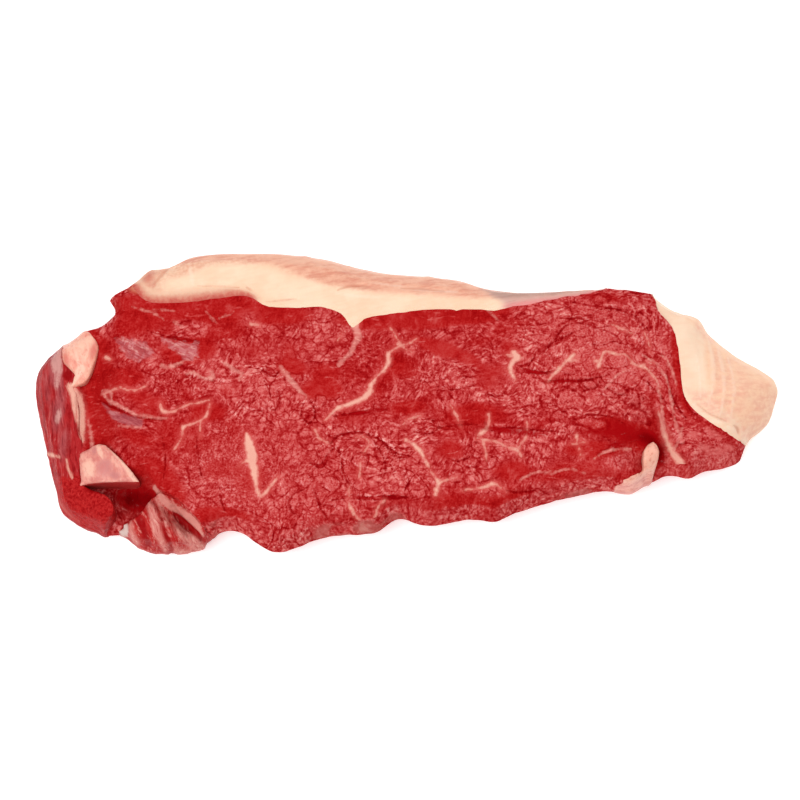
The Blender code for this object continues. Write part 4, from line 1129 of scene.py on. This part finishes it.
side = Skin("side_muscle")
side_strand = strokes(SIDE_STRANDS, side.plan)
side_foot = dabs(SIDE_FOOT, side.plan)
side_dark = dabs(SIDE_DARK, side.plan)
relief = (1 - 0.7 * side_foot) * side.swell(0.22, 2.0, 600, (1, 0.22, 1)) + side.swell(0.2, 6, 610)
relief += side.swell(0.12, 1.3, 620, (1, 0.6, 1)) + 0.35 * eased(-side_strand, -1.0, 0.3)
side.raise_by(relief - 0.3 * side_dark)
side.note(
    strand=np.where(side.ways[:, 2] > 0.2, side_strand, FAR),
    film=dabs(SIDE_FILM, side.plan) * (side.ways[:, 2] > -0.5),
    pale=dabs(SIDE_PALE, side.plan),
    foot=side_foot,
    rim=np.where(side.ways[:, 2] > 0.15, stroke(SIDE_RIM, side.plan), FAR),
    dark=side_dark,
)


def side_muscle_surface():
    """Dark red muscle seen along its fibres under a broken greyish film, with a grainy red foot."""
    material, shader, start = new_surface("side muscle", gloss=0.03)
    here = start.places()
    fibre = here.bent(7, 2.5).stretched((1, 8, 3), 5).mottle(0.85, 3, 0.7)
    cloud = here.mottle(5, 3, 0.55)
    fine = here.bent(2.5, 1.2).mottle(0.9, 3, 0.75)
    film = (start.noted("film") * 1.1 + cloud * 0.4 + fibre * 0.5).rise(0.6, 1.3)
    pale = (start.noted("pale") + fibre * 0.8 + fine * 0.6).rise(1.0, 1.6)
    strand = (start.noted("strand") + (fibre - 0.5) * 2.4).rise(0.5, -0.5)
    filmed = start.blend(cloud.rise(0.3, 0.7), (166, 26, 30), (186, 44, 46)).tint(
        (212, 108, 104, fibre.rise(0.53, 0.66) * 0.6),
        (138, 6, 14, fibre.rise(0.47, 0.36) * 0.8),
        (176, 88, 90, film * 0.75),
        (130, 30, 38, film * fibre.rise(0.48, 0.38) * 0.8),
        (218, 158, 150, pale * 0.85),
    )
    grainy = start.blend(fine.rise(0.36, 0.6), (156, 4, 10), (190, 36, 36))
    grainy = grainy.tint((212, 88, 82, fine.rise(0.6, 0.76) * 0.55))
    colour = start.blend((start.noted("foot") + (cloud - 0.5) * 1.2).rise(0.25, 0.6), filmed, grainy).tint(
        (214, 110, 102, (start.noted("rim") + (fine - 0.5) * 3).rise(0.7, -0.8) * 0.6),
        # Painted shade in the gap and the fold, and the dark line along the fibres
        (148, 4, 10, (start.noted("dark") + (fine - 0.5) * 0.8).rise(0.2, 0.8) * 0.85),
        (243, 180, 160, strand * 0.95),
        (206, 76, 72, strand * fibre.rise(0.45, 0.36) * 0.5),
    )
    dress(shader, colour, 0.4 - film * 0.06, fibre * 1.4 + cloud * 0.6 + fine * 0.8, depth=0.22)
    return material


side.finished("side_chain_muscle", "side_muscle", "side_muscle", side_muscle_surface())

# The flap: a torn end of muscle at the lower left corner, hanging lower than the eye. Pale strands of fat
# and sinew run down it with dark red clefts between them, and a grey-white film is left at its tip.

# Strands and clefts: drawn lines
FLAP_STRANDS = (
    ((-83.5, -33.5, 1.2), (-81.5, -39, 2.2), (-80, -44.5, 2.4), (-78, -48.5, 1.2)),
    ((-80.5, -33.5, 1), (-78.4, -38, 1.6), (-77.4, -42.5, 1.2)),
    ((-76, -39, 0.8), (-73, -44, 3), (-69, -46.5, 3.4), (-66, -47.5, 1.4)),
    ((-88.8, -41.5, 0.8), (-88.2, -44.4, 1.4), (-86.6, -46.6, 0.8)),
    ((-77, -47.8, 0.6), (-74, -49, 1), (-70, -48.8, 0.8)),
)
FLAP_CLEFTS = (
    ((-75.4, -36, 0.8), (-73.6, -39, 1.8), (-70, -42.4, 1.8), (-66.5, -45.5, 1.4)),
    ((-78.8, -40, 0.5), (-77.6, -45, 1), (-75.8, -48.6, 1.2)),
    ((-87, -37, 1.4), (-85.4, -42, 2.2), (-83.4, -47.6, 2)), ((-90.4, -38.4, 1.2), (-89.6, -41, 1)),
)
# The dab of film at its tip
FLAP_FILM = ((-91.4, -42.6, 3, 2.4, -35, 1),)

flap = Skin("flap")
flap_strand = strokes(FLAP_STRANDS, flap.plan)
flap_cleft = strokes(FLAP_CLEFTS, flap.plan)
flap_lip = stroke(LIP, flap.plan)
relief = 0.6 * eased(-flap_strand, -1.2, 0.6) - 0.7 * eased(-flap_cleft, -0.9, 0.6)
relief += 0.5 * eased(-flap_lip, -1.0, 0.4)
flap.raise_by(relief + flap.swell(0.2, 1.6, 700, (1, 0.4, 1)) + flap.swell(0.15, 4, 710))
flap.note(strand=flap_strand, cleft=flap_cleft, lip=flap_lip, film=dabs(FLAP_FILM, flap.plan))


def flap_surface():
    """Torn muscle with pale fluted strands and clefts darkened with painted shade."""
    material, shader, start = new_surface("torn flap", gloss=0.04)
    here = start.places()
    fluted = here.bent(4, 1.6).stretched((1, 6, 3), 20).mottle(0.75, 3, 0.7)
    fine = here.bent(2, 1).mottle(0.8, 3, 0.7)
    cloud = here.mottle(3.5, 3, 0.55)
    strand = (start.noted("strand") + (fluted - 0.5) * 2.6 + (fine - 0.5) * 1.2).rise(0.8, -0.6)
    cleft = (start.noted("cleft") + (fluted - 0.5) * 1.6).rise(0.5, -0.4)
    lip = (start.noted("lip") + (fine - 0.5) * 1.6).rise(0.5, -0.4)
    colour = start.blend((cloud * 0.6 + fine * 0.5).rise(0.4, 0.7), (170, 18, 20), (194, 48, 46)).tint(
        (226, 134, 124, fluted.rise(0.5, 0.68) * 0.8),
        (222, 138, 128, strand * 0.85),
        (240, 180, 166, strand * fluted.rise(0.5, 0.66) * 0.8),
        (182, 50, 52, strand * fluted.rise(0.47, 0.34) * 0.8),
        # Painted shade in the clefts between the strands
        (158, 6, 12, cleft * 0.9),
        (230, 152, 140, lip * 0.9),
        (222, 198, 188, (start.noted("film") + fluted * 0.6).rise(0.5, 1.1) * 0.9),
    )
    dress(shader, colour, 0.4 + strand * 0.05, fluted * 1.4 + cloud * 0.6 + fine * 0.5, depth=0.22)
    return material


flap.finished("torn_flap", "flap", "flap", flap_surface())

# The table the steak is seen on: a plain pale floor, which isn't part of the steak. It lies a hair below the
# steak's underside, so that the two are never level.

FLOOR_HALF = 2.5
FLOOR_LEVEL = -0.0002


def floor_surface():
    """A plain near-white board with the faintest mottling, and a little light of its own."""
    material, shader, start = new_surface("pale floor", gloss=0.1)
    shader.inputs["Emission Color"].default_value = (1, 1, 1, 1)
    shader.inputs["Emission Strength"].default_value = 0.3
    cloud = start.places().mottle(60, 2, 0.5)
    shades = {6: (0.95, 0.95, 0.95, 1), 7: (0.98, 0.98, 0.98, 1)}
    colour = start.make("Mix", {"data_type": "RGBA"}, {0: cloud, **shades}, 2)
    dress(shader, colour, 0.8 - cloud * 0.05, cloud, depth=0.05)
    return material


floor_mesh = bpy.data.meshes.new("floor")
corners = [(x * FLOOR_HALF, y * FLOOR_HALF, 0) for x, y in ((-1, -1), (1, -1), (1, 1), (-1, 1))]
floor_mesh.from_pydata(corners, [], [(0, 1, 2, 3)])
floor_mesh.materials.append(floor_surface())
floor = bpy.data.objects.new("floor", floor_mesh)
floor.location.z = FLOOR_LEVEL
bpy.context.scene.collection.objects.link(floor)

# The studio: a bright even room with one broad soft lamp over the steak's near left, and a weaker one across
# from it, so that the folds darken softly and the wet face keeps a low sheen.

LAMP_SIZE = 1.0
ROOM_LIGHT = 0.5


def aimed(name, data, place, back):
    """Sets up a lamp or the camera at its place, with its back turned to the given direction."""
    made = bpy.data.objects.new(name, data)
    made.location = place
    made.rotation_mode = "QUATERNION"
    made.rotation_quaternion = (-back).to_track_quat("-Z", "Y")
    bpy.context.scene.collection.objects.link(made)
    return made


def soft_lamp(name, place, power):
    """A broad square lamp that faces the steak."""
    light = bpy.data.lights.new(name, "AREA")
    light.size = LAMP_SIZE
    light.energy = power
    aimed(name, light, place, Vector(place))


soft_lamp("main lamp", (-0.45, -0.35, 1.15), power=13.0)
soft_lamp("fill lamp", (0.7, 0.75, 0.9), power=7.5)
room = bpy.data.worlds.new("room")
room.use_nodes = True
room.node_tree.nodes["Background"].inputs["Color"].default_value = (1, 1, 1, 1)
room.node_tree.nodes["Background"].inputs["Strength"].default_value = ROOM_LIGHT
bpy.context.scene.world = room
bpy.context.scene.view_settings.view_transform = "Standard"

# The camera: nearly overhead, tipped back from the near side, as the steak was photographed. It looks from
# more than a metre away through a long lens, so the far edge comes out hardly smaller than the near one.

CAMERA_TARGET = Vector((-0.002339, -0.000669, 0.016))
CAMERA_RISE = math.radians(78)
CAMERA_REACH = 1.1

lens = bpy.data.cameras.new("camera")
lens.lens = 152.8
lens.sensor_width = 36
lens.clip_start = 0.05
lens.clip_end = 20
back = Vector((0, -math.cos(CAMERA_RISE), math.sin(CAMERA_RISE)))
bpy.context.scene.camera = aimed("camera", lens, CAMERA_TARGET + back * CAMERA_REACH, back)
